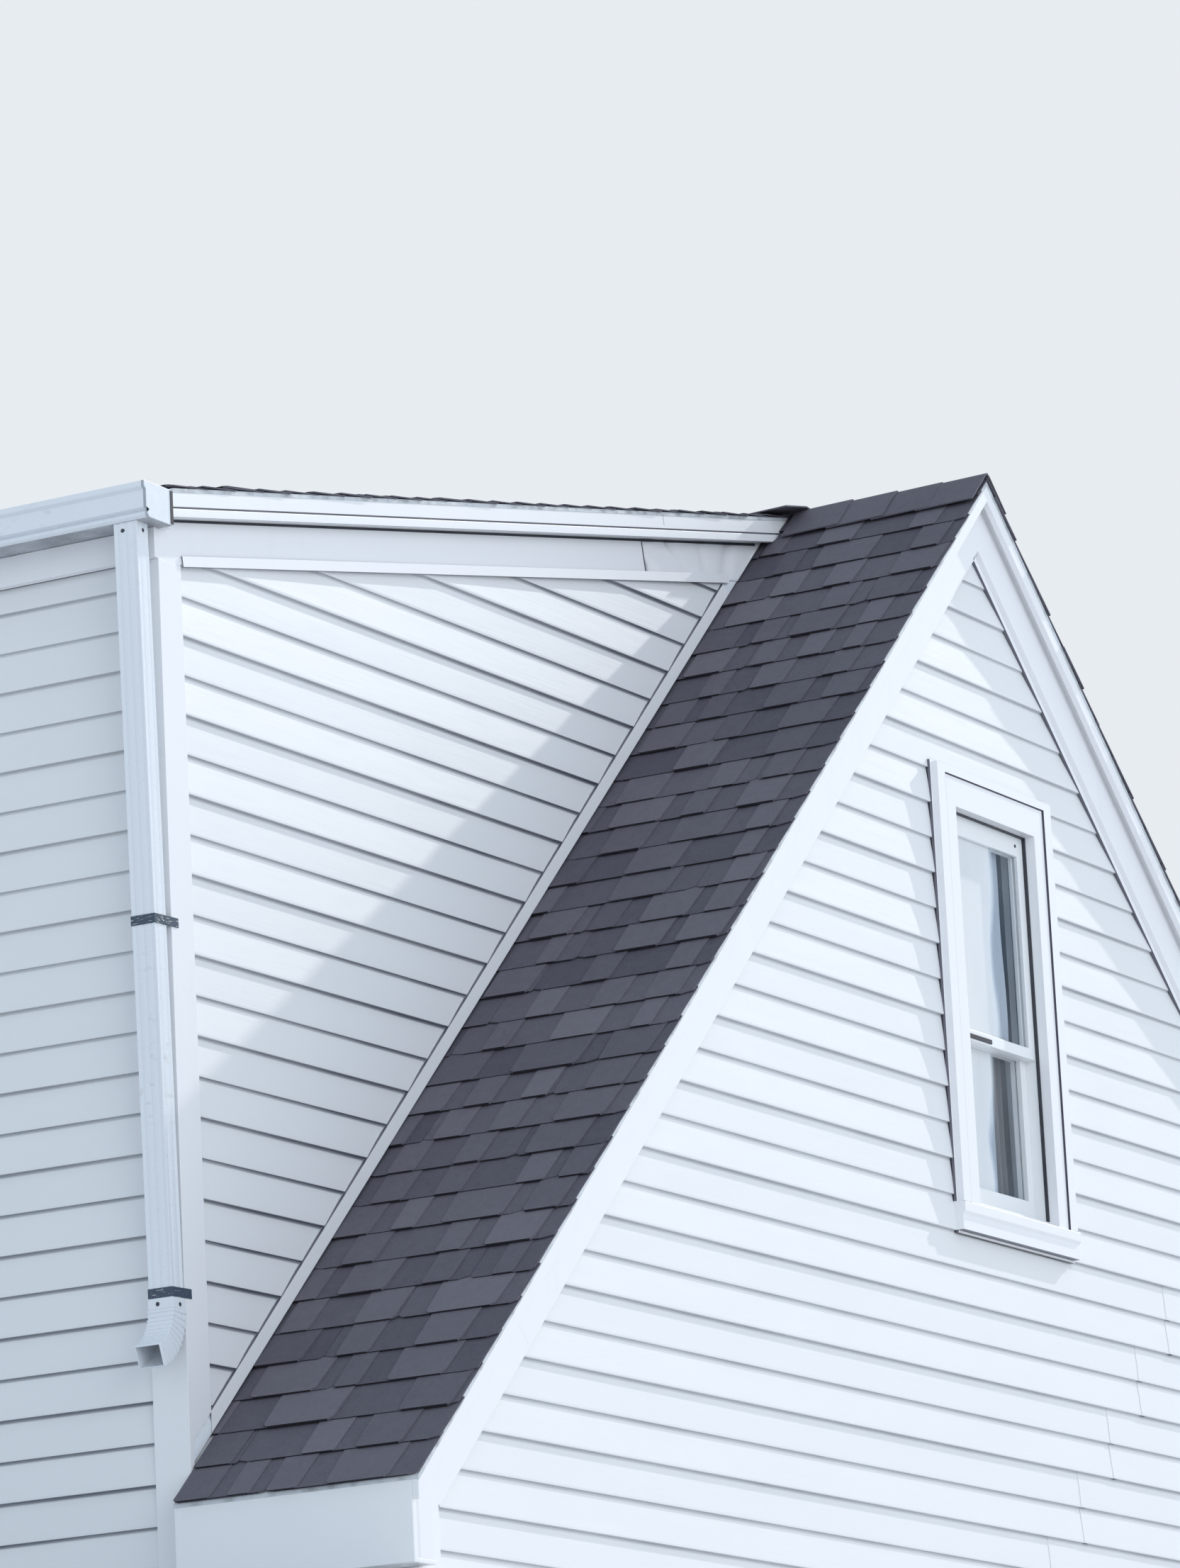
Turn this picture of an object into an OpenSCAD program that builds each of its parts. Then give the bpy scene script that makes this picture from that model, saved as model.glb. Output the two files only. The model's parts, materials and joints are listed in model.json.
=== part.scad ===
// Upper half-storey of a sided house: a shed dormer on one roof slope and a
// double-hung window in each gable.  Sizes are in millimetres.
// X runs across the gable, Y along the ridge and Z up.  The dormer faces -X.

/* [House] */
// Width across the gable, outside the framing
house_w = 6730; // [6000:10:7600]
// Pitch of the main roof, in degrees
roof_pitch = 42.6; // [40:0.1:45]
// Height of the roof surface above the base at the outside of the eave wall
heel_h = 367.6; // [356:0.1:410]
// Thickness of the framed walls
wall_t = 115; // [100:1:140]
// Reach of the roof past the eave walls
eave_reach = 100; // [85:1:140]
// Reach of the roof past the gable walls
rake_reach = 73; // [64:1:110]

/* [Dormer] */
// Length of the dormer along the ridge, outside the framing
dormer_len = 4400; // [3900:10:5200]
// Distance from the gable wall to the dormer's cheek
cheek_setback = 627; // [500:1:800]
// Pitch of the dormer roof, in degrees
dormer_pitch = 10.95; // [10:0.05:12.5]
// Reach of the dormer roof past the cheeks
cheek_reach = 60; // [50:1:80]
// Reach of the dormer's fascia past its front wall
front_reach = 10; // [8:1:34]

/* [Framing] */
// Width of joists, rafters and rim joists
lumber_w = 38; // [35:1:45]
// Depth of the rafters
rafter_h = 140; // [120:1:160]
// Spacing of joists and rafters
frame_step = 406; // [380:1:450]
// Depth of the floor joists
joist_h = 235; // [200:1:260]
// Thickness of the subfloor
subfloor_t = 19; // [15:1:25]
// Gap between subfloor panels
panel_gap = 3; // [2:0.5:5]
// Depth of the ridge board
ridge_board_h = 235; // [210:1:260]
// Length of the rafters' seat on the wall plate
seat_l = 60; // [40:1:80]
// Thickness of the roof sheathing
deck_t = 16; // [12:1:20]

/* [Roofing] */
// Thickness of the shingles at their butts
shingle_t = 12; // [10:1:16]
// Thickness of the shingles where the next course covers them
shingle_top_t = 6; // [4:1:8]
// Exposed height of one course of shingles
shingle_step = 136; // [125:1:145]
// Width of one wing of the ridge cap
cap_wing = 150; // [120:1:170]
// Thickness of the ridge cap
cap_t = 6; // [4:1:8]
// How far the shingles reach past the fascias
shingle_reach = 6; // [4:1:10]
// Height of the drip edges, square to the roof
drip_h = 10; // [8:1:16]
// Thickness of the drip edges
drip_t = 1.5; // [1:0.5:2]

/* [Siding and trim] */
// Exposed height of one course of siding
siding_step = 101.6; // [95:0.1:110]
// Thickness of the siding at the lower edge of a double panel
siding_t = 14; // [13:1:18]
// Thickness of the siding at the fold between a panel's two courses
siding_mid_t = 11; // [9:1:12]
// Thickness of the siding at the top of a course
siding_top_t = 4; // [3:1:6]
// Gap between the siding and the trim that it runs to
siding_gap = 3; // [2:0.5:5]
// How much higher the cheeks' courses lie than those of the gables
siding_shift = 8.5; // [2:0.5:20]
// How much higher the courses of the dormer's front wall lie than those of the gables
front_siding_shift = 18.5; // [2:0.5:30]
// Width of each leg of a corner post
post_w = 102; // [90:1:130]
// Thickness of a corner post and of the friezes on the cheeks, which lie flush with it
post_t = 18; // [16:1:24]
// Thickness of the casings and of the friezes on the rakes and the dormer's front
trim_t = 34; // [28:1:40]
// Thickness of the fascia boards
fascia_t = 19; // [16:1:22]
// Gap between boards that meet at a mitre
mitre_gap = 0.5; // [0.2:0.1:1]
// Height of the cheek fascias, square to the dormer roof
cheek_fascia_h = 73; // [65:1:85]
// Height of the upper band of the cheek fascias
fascia_band_h = 33; // [28:1:38]
// Depth and width of the groove between the bands of the cheek fascias
fascia_groove = 4; // [3:1:6]
// Height of the friezes on the cheeks, square to the dormer roof
cheek_frieze_h = 168; // [150:1:185]
// Height of the frieze on the dormer's front wall, under the gutter
front_frieze_h = 77; // [70:1:100]
// Height of the rake fascias, square to the roof
rake_fascia_h = 44; // [40:1:60]
// Height of the friezes on the rakes, square to the roof
rake_frieze_h = 132; // [110:1:150]
// Thickness of the return that closes the rake between frieze and fascia
rake_return_t = 6; // [4:1:10]
// Height of the flashing on the cheeks, square to the roof
flashing_h = 40; // [30:1:55]
// Thickness of the flashing on the cheeks
flashing_t = 16; // [14:1:20]
// Thickness of the flashing at its upper edge
flashing_top_t = 7; // [5:1:10]
// Thickness of the soffit panels
soffit_t = 10; // [8:1:14]

/* [Windows] */
// Clear width of a window between its jambs
window_w = 508; // [440:1:600]
// Clear height of a window between sill and head
window_h = 1123; // [1000:1:1250]
// Drop from the dormer's frieze to the top of the window casings
head_drop = 68; // [30:1:120]
// Distance from the middle of the dormer to each of its windows
dormer_window_y = 1100; // [900:10:1250]
// Width of the flat casing round a window
casing_w = 112; // [90:1:115]
// Thickness of the window jambs
jamb_t = 19; // [16:1:24]
// Clearance round a window unit in its wall
unit_gap = 2; // [1:0.5:4]
// Depth from the framing to the face of the upper sash
sash_inset = 7; // [5:1:15]
// Thickness of a sash
sash_t = 32; // [28:1:36]
// Clearance beside a sash
sash_gap = 0.5; // [0.2:0.1:1]
// Clearance between the upper and the lower sash
sash_apart = 1; // [0.5:0.5:2]
// Width of the stiles of a sash
stile_w = 38; // [32:1:45]
// Height of the outer rails of a sash
rail_h = 60; // [50:1:70]
// Height of a meeting rail
meeting_h = 32; // [26:1:40]
// Height of the meeting rails' middle above the sill
meeting_z = 485; // [430:1:560]
// Thickness of the window glass
glass_t = 6; // [5:1:8]
// Depth of the groove that holds the glass
groove_d = 8; // [6:1:12]
// Length of the lock on the meeting rail
lock_l = 58; // [45:1:70]
// Height of the sill nose
nose_h = 81; // [70:1:95]
// Thickness of the sill nose
nose_t = 44; // [40:1:55]
// Height of the sill nose above its apron
nose_lip_h = 30; // [24:1:40]
// How far the apron stands back under the sill nose
apron_set = 8; // [5:1:12]
// How far the sill nose runs past the casing at each side
nose_ear = 8; // [4:1:12]

/* [Gutter and downspout] */
// Width of the gutter across its top
gutter_w = 127; // [120:1:135]
// Height of the gutter
gutter_h = 91; // [85:1:100]
// Width of the gutter's flat bottom
gutter_bottom_w = 106; // [102:1:110]
// Thickness of the gutter's metal
gutter_t = 2.5; // [2:0.5:4]
// Height of the bead along the gutter's rim
gutter_bead_h = 14; // [12:1:20]
// How far the bead stands out from the gutter's face
gutter_bead_d = 8; // [3:0.5:10]
// Height of the rounded moulding at the foot of the gutter's front
gutter_ogee_h = 20; // [16:1:26]
// How far that moulding stands out from the gutter's floor
gutter_ogee_d = 8; // [5:0.5:10]
// Height of the crease between the moulding and the gutter's face
gutter_crease_h = 5; // [4:0.5:8]
// Width of the hem that is folded in at the gutter's rim
hem_w = 12; // [9:1:16]
// Drop of the gutter's rim below the top of the fascia
gutter_drop = 6; // [4:1:12]
// Greatest spacing of the hangers inside the gutter
hanger_step = 610; // [450:10:750]
// Width of a gutter hanger
hanger_w = 25; // [20:1:35]
// Thickness of a gutter hanger
hanger_t = 2; // [1.5:0.5:3]
// Height of the tab that fastens a hanger to the fascia
hanger_tab_h = 28; // [20:1:40]
// Depth of the downspout, away from the wall
spout_d = 51; // [48:1:54]
// Width of the downspout, along the wall
spout_w = 67; // [62:1:84]
// Wall of the downspout
spout_t = 2.5; // [2:0.5:3]
// Depth of the flutes pressed into the downspout
flute_d = 1; // [0.8:0.1:1.7]
// Thickness of the straps round the downspout
strap_t = 2; // [1.5:0.5:3]
// Height of the straps round the downspout
strap_h = 24; // [18:1:30]
// How far the end of a strap runs over the corner post
strap_tab = 30; // [20:1:45]
// Height of the upper strap above the downspout's foot
strap_rise = 948; // [800:1:1050]
// How much further from the wall the downspout stands at its top than at its foot
spout_lean = 41; // [30:1:60]
// Height of the downspout's lower end above the base
spout_foot_z = 738; // [700:1:900]
// Radius of the elbow at its inside
elbow_r = 105; // [70:1:120]
// Angle that the elbow turns through, in degrees
elbow_turn = 70; // [50:1:80]
// Number of pleats round the elbow
pleat_count = 11; // [6:1:14]
// Length of the elbow's sleeve, which takes the foot of the downspout
elbow_lap = 26; // [20:1:40]
// Height of the elbow's pleats
pleat_d = 1.5; // [1:0.1:2]

/* [Hidden] */
$fn = 48;

half_w = house_w / 2;
dormer_half = dormer_len / 2;
gable_y = dormer_half + cheek_setback;
ridge_z = heel_h + half_w * tan(roof_pitch);
roof_t = shingle_t + deck_t;
stack_t = roof_t + rafter_h;
far = 20000;
cut = 1;

// Height of the main roof at a distance from the ridge, at a depth square to its surface
function roof_z(x, depth = 0) = ridge_z - abs(x) * tan(roof_pitch) - depth / cos(roof_pitch);
// Height of the dormer roof in the same way
function dormer_z(x, depth = 0) = ridge_z - abs(x) * tan(dormer_pitch) - depth / cos(dormer_pitch);
// Distance from the ridge at which the main roof lies at a height, at a depth
function roof_x(z, depth = 0) = (ridge_z - depth / cos(roof_pitch) - z) / tan(roof_pitch);

plate_z = roof_z(half_w, stack_t) + seat_l * tan(roof_pitch);
floor_z = plate_z + joist_h + subfloor_t;
tail_x = half_w + eave_reach - fascia_t;
beam_side = lumber_w / 2;
joist_top = floor_z - subfloor_t;
front_x = half_w + front_reach;
dormer_tail_x = front_x - fascia_t;
// The framing stops behind the dormer's fascia where the fascia is over the wall
wall_top_x = min(half_w, dormer_tail_x);
rake_y = gable_y + rake_reach;
overhang_y = dormer_half + cheek_reach;
post_y = dormer_half + post_t;
post_x = half_w + post_t;
fascia_low = shingle_t + cheek_fascia_h;
frieze_low = roof_t + cheek_frieze_h;
rake_low = roof_t + rake_frieze_h;
gutter_z = dormer_z(front_x, shingle_t) - gutter_drop - gutter_h;
frieze_z = gutter_z - front_frieze_h;
head_z = frieze_z - head_drop - casing_w;
window_z = head_z - window_h;
shingle_rake_y = rake_y + shingle_reach;
shingle_overhang_y = overhang_y + shingle_reach;
wood = [0.78, 0.64, 0.45];
panel = [0.80, 0.72, 0.58];
white = [0.93, 0.94, 0.95];
shade = [0.80, 0.84, 0.90];
slate = [0.25, 0.22, 0.23];

// Extrudes an X-Z outline along Y from y0 to y1
module along_y(y0, y1) translate([0, y1, 0]) rotate([90, 0, 0]) linear_extrude(y1 - y0) children();
// Extrudes a Y-Z outline along X from x0 to x1
module along_x(x0, x1) translate([x0, 0, 0]) rotate([90, 0, 90]) linear_extrude(x1 - x0) children();
// Repeats a piece at the other end of the house
module both_ends() { children(); mirror([0, 1, 0]) children(); }
// Repeats a piece on the other side of the ridge
module both_sides() { children(); mirror([1, 0, 0]) children(); }

// Everything in the X-Z plane below the main roof on one side, down to a depth
module below_roof(depth)
    polygon([[0, -far], [far, -far], [far, roof_z(far, depth)], [0, roof_z(0, depth)]]);

// A strip down a roof slope on the +X side, with plumb cuts at x0 and x1.  Its outline
// is in Y and in the height above the roof surface, square to it.
module down_slope(pitch, x0, x1) intersection() {
    translate([0, 0, ridge_z]) rotate([0, pitch, 0]) along_x(-far, far) children();
    translate([x0, -far / 2, -far / 2]) cube([x1 - x0, far, far]);
}

// Floor and bearing walls
module eave_walls() color(wood) both_sides()
    translate([half_w - wall_t, -gable_y + wall_t, 0]) cube([wall_t, 2 * (gable_y - wall_t), plate_z]);

module bearing_beam() color(wood)
    translate([-wall_t / 2, -gable_y + wall_t, 0]) cube([wall_t, 2 * (gable_y - wall_t), plate_z]);

joist_run = 2 * (gable_y - wall_t) - lumber_w;
joist_count = floor(joist_run / frame_step) + 1;
function joist_y(i) = -joist_run / 2 + i * joist_run / (joist_count - 1);
// A joist under the dormer's floor reaches the rim joist, the others stop under the rafters
function reaches_rim(y) = abs(y) + beam_side <= dormer_half - wall_t;
joist_end = roof_x(joist_top, stack_t);

module floor_joists() color(wood)
    for (i = [0 : joist_count - 1])
        along_y(joist_y(i) - beam_side, joist_y(i) + beam_side)
            polygon(concat([[half_w - seat_l, plate_z], [joist_end, joist_top]],
                reaches_rim(joist_y(i))
                    ? [[-half_w + lumber_w, joist_top], [-half_w + lumber_w, plate_z]]
                    : [[-joist_end, joist_top], [-half_w + seat_l, plate_z]]));

module rim_joist() color(wood)
    translate([-half_w, -dormer_half + wall_t, plate_z])
        cube([lumber_w, 2 * (dormer_half - wall_t), joist_h]);

floor_end = roof_x(floor_z, stack_t);
module subfloor() color(panel) translate([0, 0, joist_top]) {
    translate([-floor_end, -gable_y + wall_t, 0])
        cube([2 * floor_end, 2 * (gable_y - wall_t), subfloor_t]);
    translate([-half_w, -dormer_half + wall_t, 0])
        cube([half_w - floor_end - panel_gap, 2 * (dormer_half - wall_t), subfloor_t]);
}

// Walls
unit_w = window_w + 2 * jamb_t;
unit_h = window_h + 2 * jamb_t;
module rough_opening() translate([-unit_w / 2 - unit_gap, window_z - jamb_t])
    square([unit_w + 2 * unit_gap, unit_h + unit_gap]);

module gable_wall() color(panel) along_y(-gable_y, -gable_y + wall_t) difference() {
    polygon([[-half_w, 0], [half_w, 0], [half_w, roof_z(half_w, roof_t)],
        [0, roof_z(0, roof_t)], [-half_w, roof_z(half_w, roof_t)]]);
    rough_opening();
}
module gable_wall_front() gable_wall();
module gable_wall_back() mirror([0, 1, 0]) gable_wall();

// Places a window's parts in the front gable, the back gable and the dormer's front
module at_gable_front() translate([0, -gable_y, 0]) children();
module at_gable_back() translate([0, gable_y, 0]) rotate([0, 0, 180]) children();
module at_dormer() for (side = [-1, 1])
    translate([-half_w, side * dormer_window_y, 0]) rotate([0, 0, -90]) children();
module at_windows() { at_gable_front() children(); at_gable_back() children(); at_dormer() children(); }

module dormer_front_wall() color(panel) difference() {
    along_y(-dormer_half + wall_t, dormer_half - wall_t)
        polygon([[-half_w, floor_z], [-half_w, dormer_z(half_w, stack_t)],
            [-half_w + wall_t, dormer_z(half_w - wall_t, stack_t)], [-half_w + wall_t, floor_z]]);
    at_dormer() along_y(-wall_t, 2 * wall_t) rough_opening();
}

module dormer_cheek() color(panel) along_y(-dormer_half, -dormer_half + wall_t)
    polygon(concat([[-half_w, plate_z]],
        wall_top_x < half_w ? [[-half_w, gutter_z], [-wall_top_x, gutter_z]] : [],
        [[-wall_top_x, dormer_z(wall_top_x, roof_t)], [-beam_side, dormer_z(beam_side, roof_t)],
        [-beam_side, roof_z(beam_side, stack_t)], [-half_w + seat_l, plate_z]]));
module dormer_cheek_front() dormer_cheek();
module dormer_cheek_back() mirror([0, 1, 0]) dormer_cheek();

// Roof framing
module ridge_board() color(wood) along_y(-gable_y + wall_t, gable_y - wall_t)
    translate([-beam_side, roof_z(beam_side, roof_t) - ridge_board_h]) square([lumber_w, ridge_board_h]);

// Rafter of the main roof, on the +X side, with its seat cut on the wall plate
module rafter_outline()
    polygon([[beam_side, roof_z(beam_side, roof_t)], [tail_x, roof_z(tail_x, roof_t)],
        [tail_x, roof_z(tail_x, stack_t)], [half_w, roof_z(half_w, stack_t)], [half_w, plate_z],
        [half_w - seat_l, plate_z], [beam_side, roof_z(beam_side, stack_t)]]);

module right_rafters() color(wood) for (i = [0 : joist_count - 1])
    along_y(joist_y(i) - beam_side, joist_y(i) + beam_side) rafter_outline();

module strip_rafters() color(wood) both_ends() mirror([1, 0, 0])
    along_y(-dormer_half - cheek_setback / 2 - beam_side, -dormer_half - cheek_setback / 2 + beam_side)
        rafter_outline();

dormer_run = 2 * (dormer_half - wall_t) - lumber_w;
dormer_count = floor(dormer_run / frame_step) + 1;
function dormer_rafter_y(i) = -dormer_run / 2 + i * dormer_run / (dormer_count - 1);
module dormer_rafters() color(wood) for (i = [0 : dormer_count - 1])
    along_y(dormer_rafter_y(i) - beam_side, dormer_rafter_y(i) + beam_side)
        polygon([[-beam_side, dormer_z(beam_side, roof_t)], [-dormer_tail_x, dormer_z(dormer_tail_x, roof_t)],
            [-dormer_tail_x, dormer_z(dormer_tail_x, stack_t)], [-beam_side, dormer_z(beam_side, stack_t)]]);

// Roof sheathing.  The strips beside the dormer stop at its cheeks.
module main_deck_outline(x_end) polygon([[0, roof_z(0, shingle_t)], [x_end, roof_z(x_end, shingle_t)],
    [x_end, roof_z(x_end, roof_t)], [0, roof_z(0, roof_t)]]);

module right_roof_deck() color(panel)
    along_y(-rake_y + fascia_t, rake_y - fascia_t) main_deck_outline(tail_x);

// A layer of the strips beside the dormer: its tail passes in front of the corner post
module strip_layer(y_end) both_ends() mirror([1, 0, 0]) {
    difference() {
        along_y(-y_end, -dormer_half) children();
        translate([half_w, -post_y, -far / 2]) cube([far, far, far]);
    }
}
module strip_roof_decks() color(panel) strip_layer(rake_y - fascia_t) main_deck_outline(tail_x);

// The space that the strips fill, which the dormer roof's overhang stops at
module strip_space() both_ends() mirror([1, 0, 0])
    along_y(-gable_y, -dormer_half)
        polygon([[-cut, roof_z(0)], [0, roof_z(0)], [far, roof_z(far)], [-cut, -far]]);

module dormer_roof_deck() color(panel) difference() {
    along_y(-overhang_y + fascia_t, overhang_y - fascia_t)
        polygon([[0, dormer_z(0, shingle_t)], [-dormer_tail_x, dormer_z(dormer_tail_x, shingle_t)],
            [-dormer_tail_x, dormer_z(dormer_tail_x, roof_t)], [0, dormer_z(0, roof_t)]]);
    strip_space();
}

// Siding.  Each course is thick at its butt and thin at its top.  Two courses make a panel,
// whose lower edge stands out more than the fold in its middle.  The panels start at the
// even courses where lap is 0 and at the odd ones where it is 1.
siding_courses = ceil(ridge_z / siding_step);
function butt_t(i, lap) = abs(i) % 2 == lap ? siding_t : siding_mid_t;
module siding_outline(shift, lap) {
    first = shift > 0 ? -1 : 0;
    polygon(concat([[0, shift + siding_courses * siding_step], [0, shift + first * siding_step]],
        [for (i = [first : siding_courses - 1]) each [
            [-butt_t(i, lap), shift + i * siding_step],
            [-siding_top_t, shift + (i + 1) * siding_step]]]));
}

// The spaces that the siding leaves for a window's casing and for its sill
nose_z = window_z - jamb_t - nose_h;
casing_half = window_w / 2 + casing_w;
module casing_space() translate([-casing_half - siding_gap, nose_z - siding_gap])
    square([2 * (casing_half + siding_gap), head_z + casing_w - nose_z + 2 * siding_gap]);
module nose_space() translate([-casing_half - nose_ear - siding_gap, nose_z - siding_gap])
    square([2 * (casing_half + nose_ear + siding_gap), nose_h + 2 * siding_gap]);

siding_side = half_w + post_t - post_w - siding_gap;
module gable_siding() color(white) difference() {
    intersection() {
        translate([0, -gable_y, 0]) along_x(-half_w, half_w) siding_outline(0, 0);
        along_y(-gable_y - 2 * siding_t, -gable_y)
            polygon([[-siding_side, 0], [siding_side, 0],
                [siding_side, roof_z(siding_side, rake_low + siding_gap)],
                [0, roof_z(0, rake_low + siding_gap)],
                [-siding_side, roof_z(siding_side, rake_low + siding_gap)]]);
    }
    along_y(-gable_y - 2 * siding_t, -gable_y + siding_t) { casing_space(); nose_space(); }
}
module gable_siding_front() gable_siding();
module gable_siding_back() mirror([0, 1, 0]) gable_siding();

// Distance from the ridge at which a line under the dormer roof meets one above the main roof
function cheek_meet(under_dormer, under_roof) =
    (under_dormer - under_roof * cos(dormer_pitch) / cos(roof_pitch))
    / (tan(roof_pitch) - tan(dormer_pitch)) / cos(dormer_pitch);
siding_low = -flashing_h - siding_gap;
siding_high = frieze_low + siding_gap;
siding_tip_x = cheek_meet(siding_high, siding_low);
module cheek_siding() color(white) intersection() {
    translate([0, -dormer_half, 0]) along_x(-half_w, 0) siding_outline(siding_shift, 0);
    along_y(-dormer_half - 2 * siding_t, -dormer_half)
        polygon([[-siding_side, roof_z(siding_side, siding_low)],
            [-siding_side, dormer_z(siding_side, siding_high)],
            [-siding_tip_x, dormer_z(siding_tip_x, siding_high)]]);
}
module cheek_siding_front() cheek_siding();
module cheek_siding_back() mirror([0, 1, 0]) cheek_siding();

front_siding_y = post_y - post_w - siding_gap;
module dormer_front_siding() color(shade) difference() {
    intersection() {
        translate([-half_w, 0, 0]) rotate([0, 0, -90]) along_x(-front_siding_y, front_siding_y)
            siding_outline(front_siding_shift, 1);
        along_y(-front_siding_y, front_siding_y)
            translate([-half_w - 2 * siding_t, 0]) square([2 * siding_t, frieze_z - siding_gap]);
    }
    at_dormer() along_y(-2 * siding_t, siding_t) { casing_space(); nose_space(); }
}

// Shingles.  Each course is thick at its butt and thin at the top, on the sheathing.
module shingle_outline(length) {
    courses = ceil(length / shingle_step);
    polygon(concat([[length, 0], [0, 0]],
        [for (i = [courses - 1 : -1 : 0]) each [
            [length - min(length, (i + 1) * shingle_step), shingle_top_t],
            [length - i * shingle_step, shingle_t]]]));
}
main_length = (half_w + eave_reach + shingle_reach) / cos(roof_pitch);
dormer_length = (front_x + gutter_drop) / cos(dormer_pitch);
module main_shingle_outline() difference() {
    translate([0, roof_z(0, shingle_t)]) rotate(-roof_pitch) translate([-shingle_t, 0])
        shingle_outline(main_length + shingle_t);
    translate([-far, 0]) square([far, far]);
}
module right_shingles() color(slate) along_y(-shingle_rake_y, shingle_rake_y) main_shingle_outline();
module strip_shingles() color(slate) strip_layer(shingle_rake_y) main_shingle_outline();
module dormer_shingles() color(slate) difference() {
    mirror([1, 0, 0]) along_y(-shingle_overhang_y, shingle_overhang_y) difference() {
        translate([0, dormer_z(0, shingle_t)]) rotate(-dormer_pitch) translate([-shingle_t, 0])
            shingle_outline(dormer_length + shingle_t);
        translate([-far, 0]) square([far, far]);
    }
    strip_space();
}

// Ridge cap, folded over the ridge: steeper at its left side beside the dormer
module cap_wing_outline(pitch) intersection() {
    translate([0, ridge_z]) rotate(-pitch) translate([-cap_wing, 0]) square([2 * cap_wing, cap_t]);
    square([far, far]);
}
module ridge_cap() color(slate) {
    along_y(-shingle_rake_y, shingle_rake_y) cap_wing_outline(roof_pitch);
    mirror([1, 0, 0]) along_y(-shingle_overhang_y, shingle_overhang_y) cap_wing_outline(dormer_pitch);
    both_ends() mirror([1, 0, 0])
        along_y(-shingle_rake_y, -shingle_overhang_y) cap_wing_outline(roof_pitch);
}

// Corner posts
module corner_leg(height) difference() {
    cube([post_w, post_w, height]);
    translate([post_t, post_t, -cut]) cube([post_w, post_w, height + 2 * cut]);
}
module dormer_corner_posts() color(white) both_ends() difference() {
    translate([-post_x, -post_y, 0]) corner_leg(frieze_z);
    translate([0, -dormer_half, 0]) mirror([1, 0, 0]) along_y(-2 * post_t, 0) intersection() {
        below_roof(-flashing_h);
        square([half_w, far]);
    }
}

// The leg on the gable runs up to the rake frieze, the other one to the soffit
soffit_z = roof_z(tail_x, stack_t) - soffit_t;
module house_corner_posts() color(white) both_ends() both_sides() union() {
    translate([-post_x, -gable_y - post_t, 0]) cube([post_t, post_w, soffit_z]);
    along_y(-gable_y - post_t, -gable_y)
        polygon([[-post_x, 0], [-post_x, soffit_z], [-half_w, soffit_z],
            [-half_w, roof_z(half_w, rake_low)],
            [-post_x + post_w, roof_z(post_x - post_w, rake_low)], [-post_x + post_w, 0]]);
}

// Trim of the dormer
module cheek_friezes() color(white) both_ends() difference() {
    along_y(-post_y, -dormer_half)
        polygon([[0, dormer_z(0, roof_t)], [-wall_top_x, dormer_z(wall_top_x, roof_t)],
            [-wall_top_x, gutter_z], [-half_w - trim_t, gutter_z], [-half_w - trim_t, frieze_z],
            [-post_x + post_w, frieze_z], [-post_x + post_w, dormer_z(post_x - post_w, frieze_low)],
            [0, dormer_z(0, frieze_low)]]);
    strip_space();
}
// Two bands with a groove between them
band_low = shingle_t + fascia_band_h;
module cheek_fascia_outline() translate([-overhang_y, 0]) difference() {
    translate([0, -fascia_low]) square([fascia_t, cheek_fascia_h]);
    translate([-cut, -band_low - fascia_groove]) square([fascia_groove + cut, fascia_groove]);
}
module cheek_fascias() color(white) both_ends() difference() {
    mirror([1, 0, 0]) down_slope(dormer_pitch, 0, front_x) cheek_fascia_outline();
    strip_space();
}
module dormer_front_frieze() color(shade)
    translate([-half_w - trim_t, -dormer_half, frieze_z]) cube([trim_t, dormer_len, front_frieze_h]);
module dormer_front_fascia() color(shade) along_y(-overhang_y + fascia_t, overhang_y - fascia_t)
    polygon([[-front_x, dormer_z(front_x, shingle_t)], [-front_x, gutter_z], [-dormer_tail_x, gutter_z],
        [-dormer_tail_x, dormer_z(dormer_tail_x, shingle_t)]]);

// Trim of the main roof
mitre_x = mitre_gap / 2;
eave_x = tail_x + fascia_t;
module rake_strip(x_end) both_ends() both_sides() down_slope(roof_pitch, mitre_x, x_end) children();

// The frieze has a return at its top that reaches to the back of the fascia
module rake_friezes() color(white) rake_strip(half_w) union() {
    translate([-gable_y - trim_t, -rake_low]) square([trim_t, rake_frieze_h]);
    translate([-rake_y + fascia_t, -roof_t - rake_return_t])
        square([rake_reach - fascia_t, rake_return_t]);
}
module rake_fascias() color(white) rake_strip(eave_x)
    translate([-rake_y, -shingle_t - rake_fascia_h]) square([fascia_t, rake_fascia_h]);

module eave_board() polygon([[tail_x, roof_z(tail_x, shingle_t)], [eave_x, roof_z(eave_x, shingle_t)],
    [eave_x, soffit_z], [tail_x, soffit_z]]);
module eave_fascias() color(white) {
    along_y(-rake_y + fascia_t, rake_y - fascia_t) eave_board();
    both_ends() mirror([1, 0, 0]) along_y(-rake_y + fascia_t, -post_y) eave_board();
}
module soffit_board() translate([half_w, soffit_z]) square([tail_x - half_w, soffit_t]);
module eave_soffits() color(white) {
    along_y(-rake_y + fascia_t, rake_y - fascia_t) soffit_board();
    both_ends() mirror([1, 0, 0]) along_y(-rake_y + fascia_t, -post_y) soffit_board();
}

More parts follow.
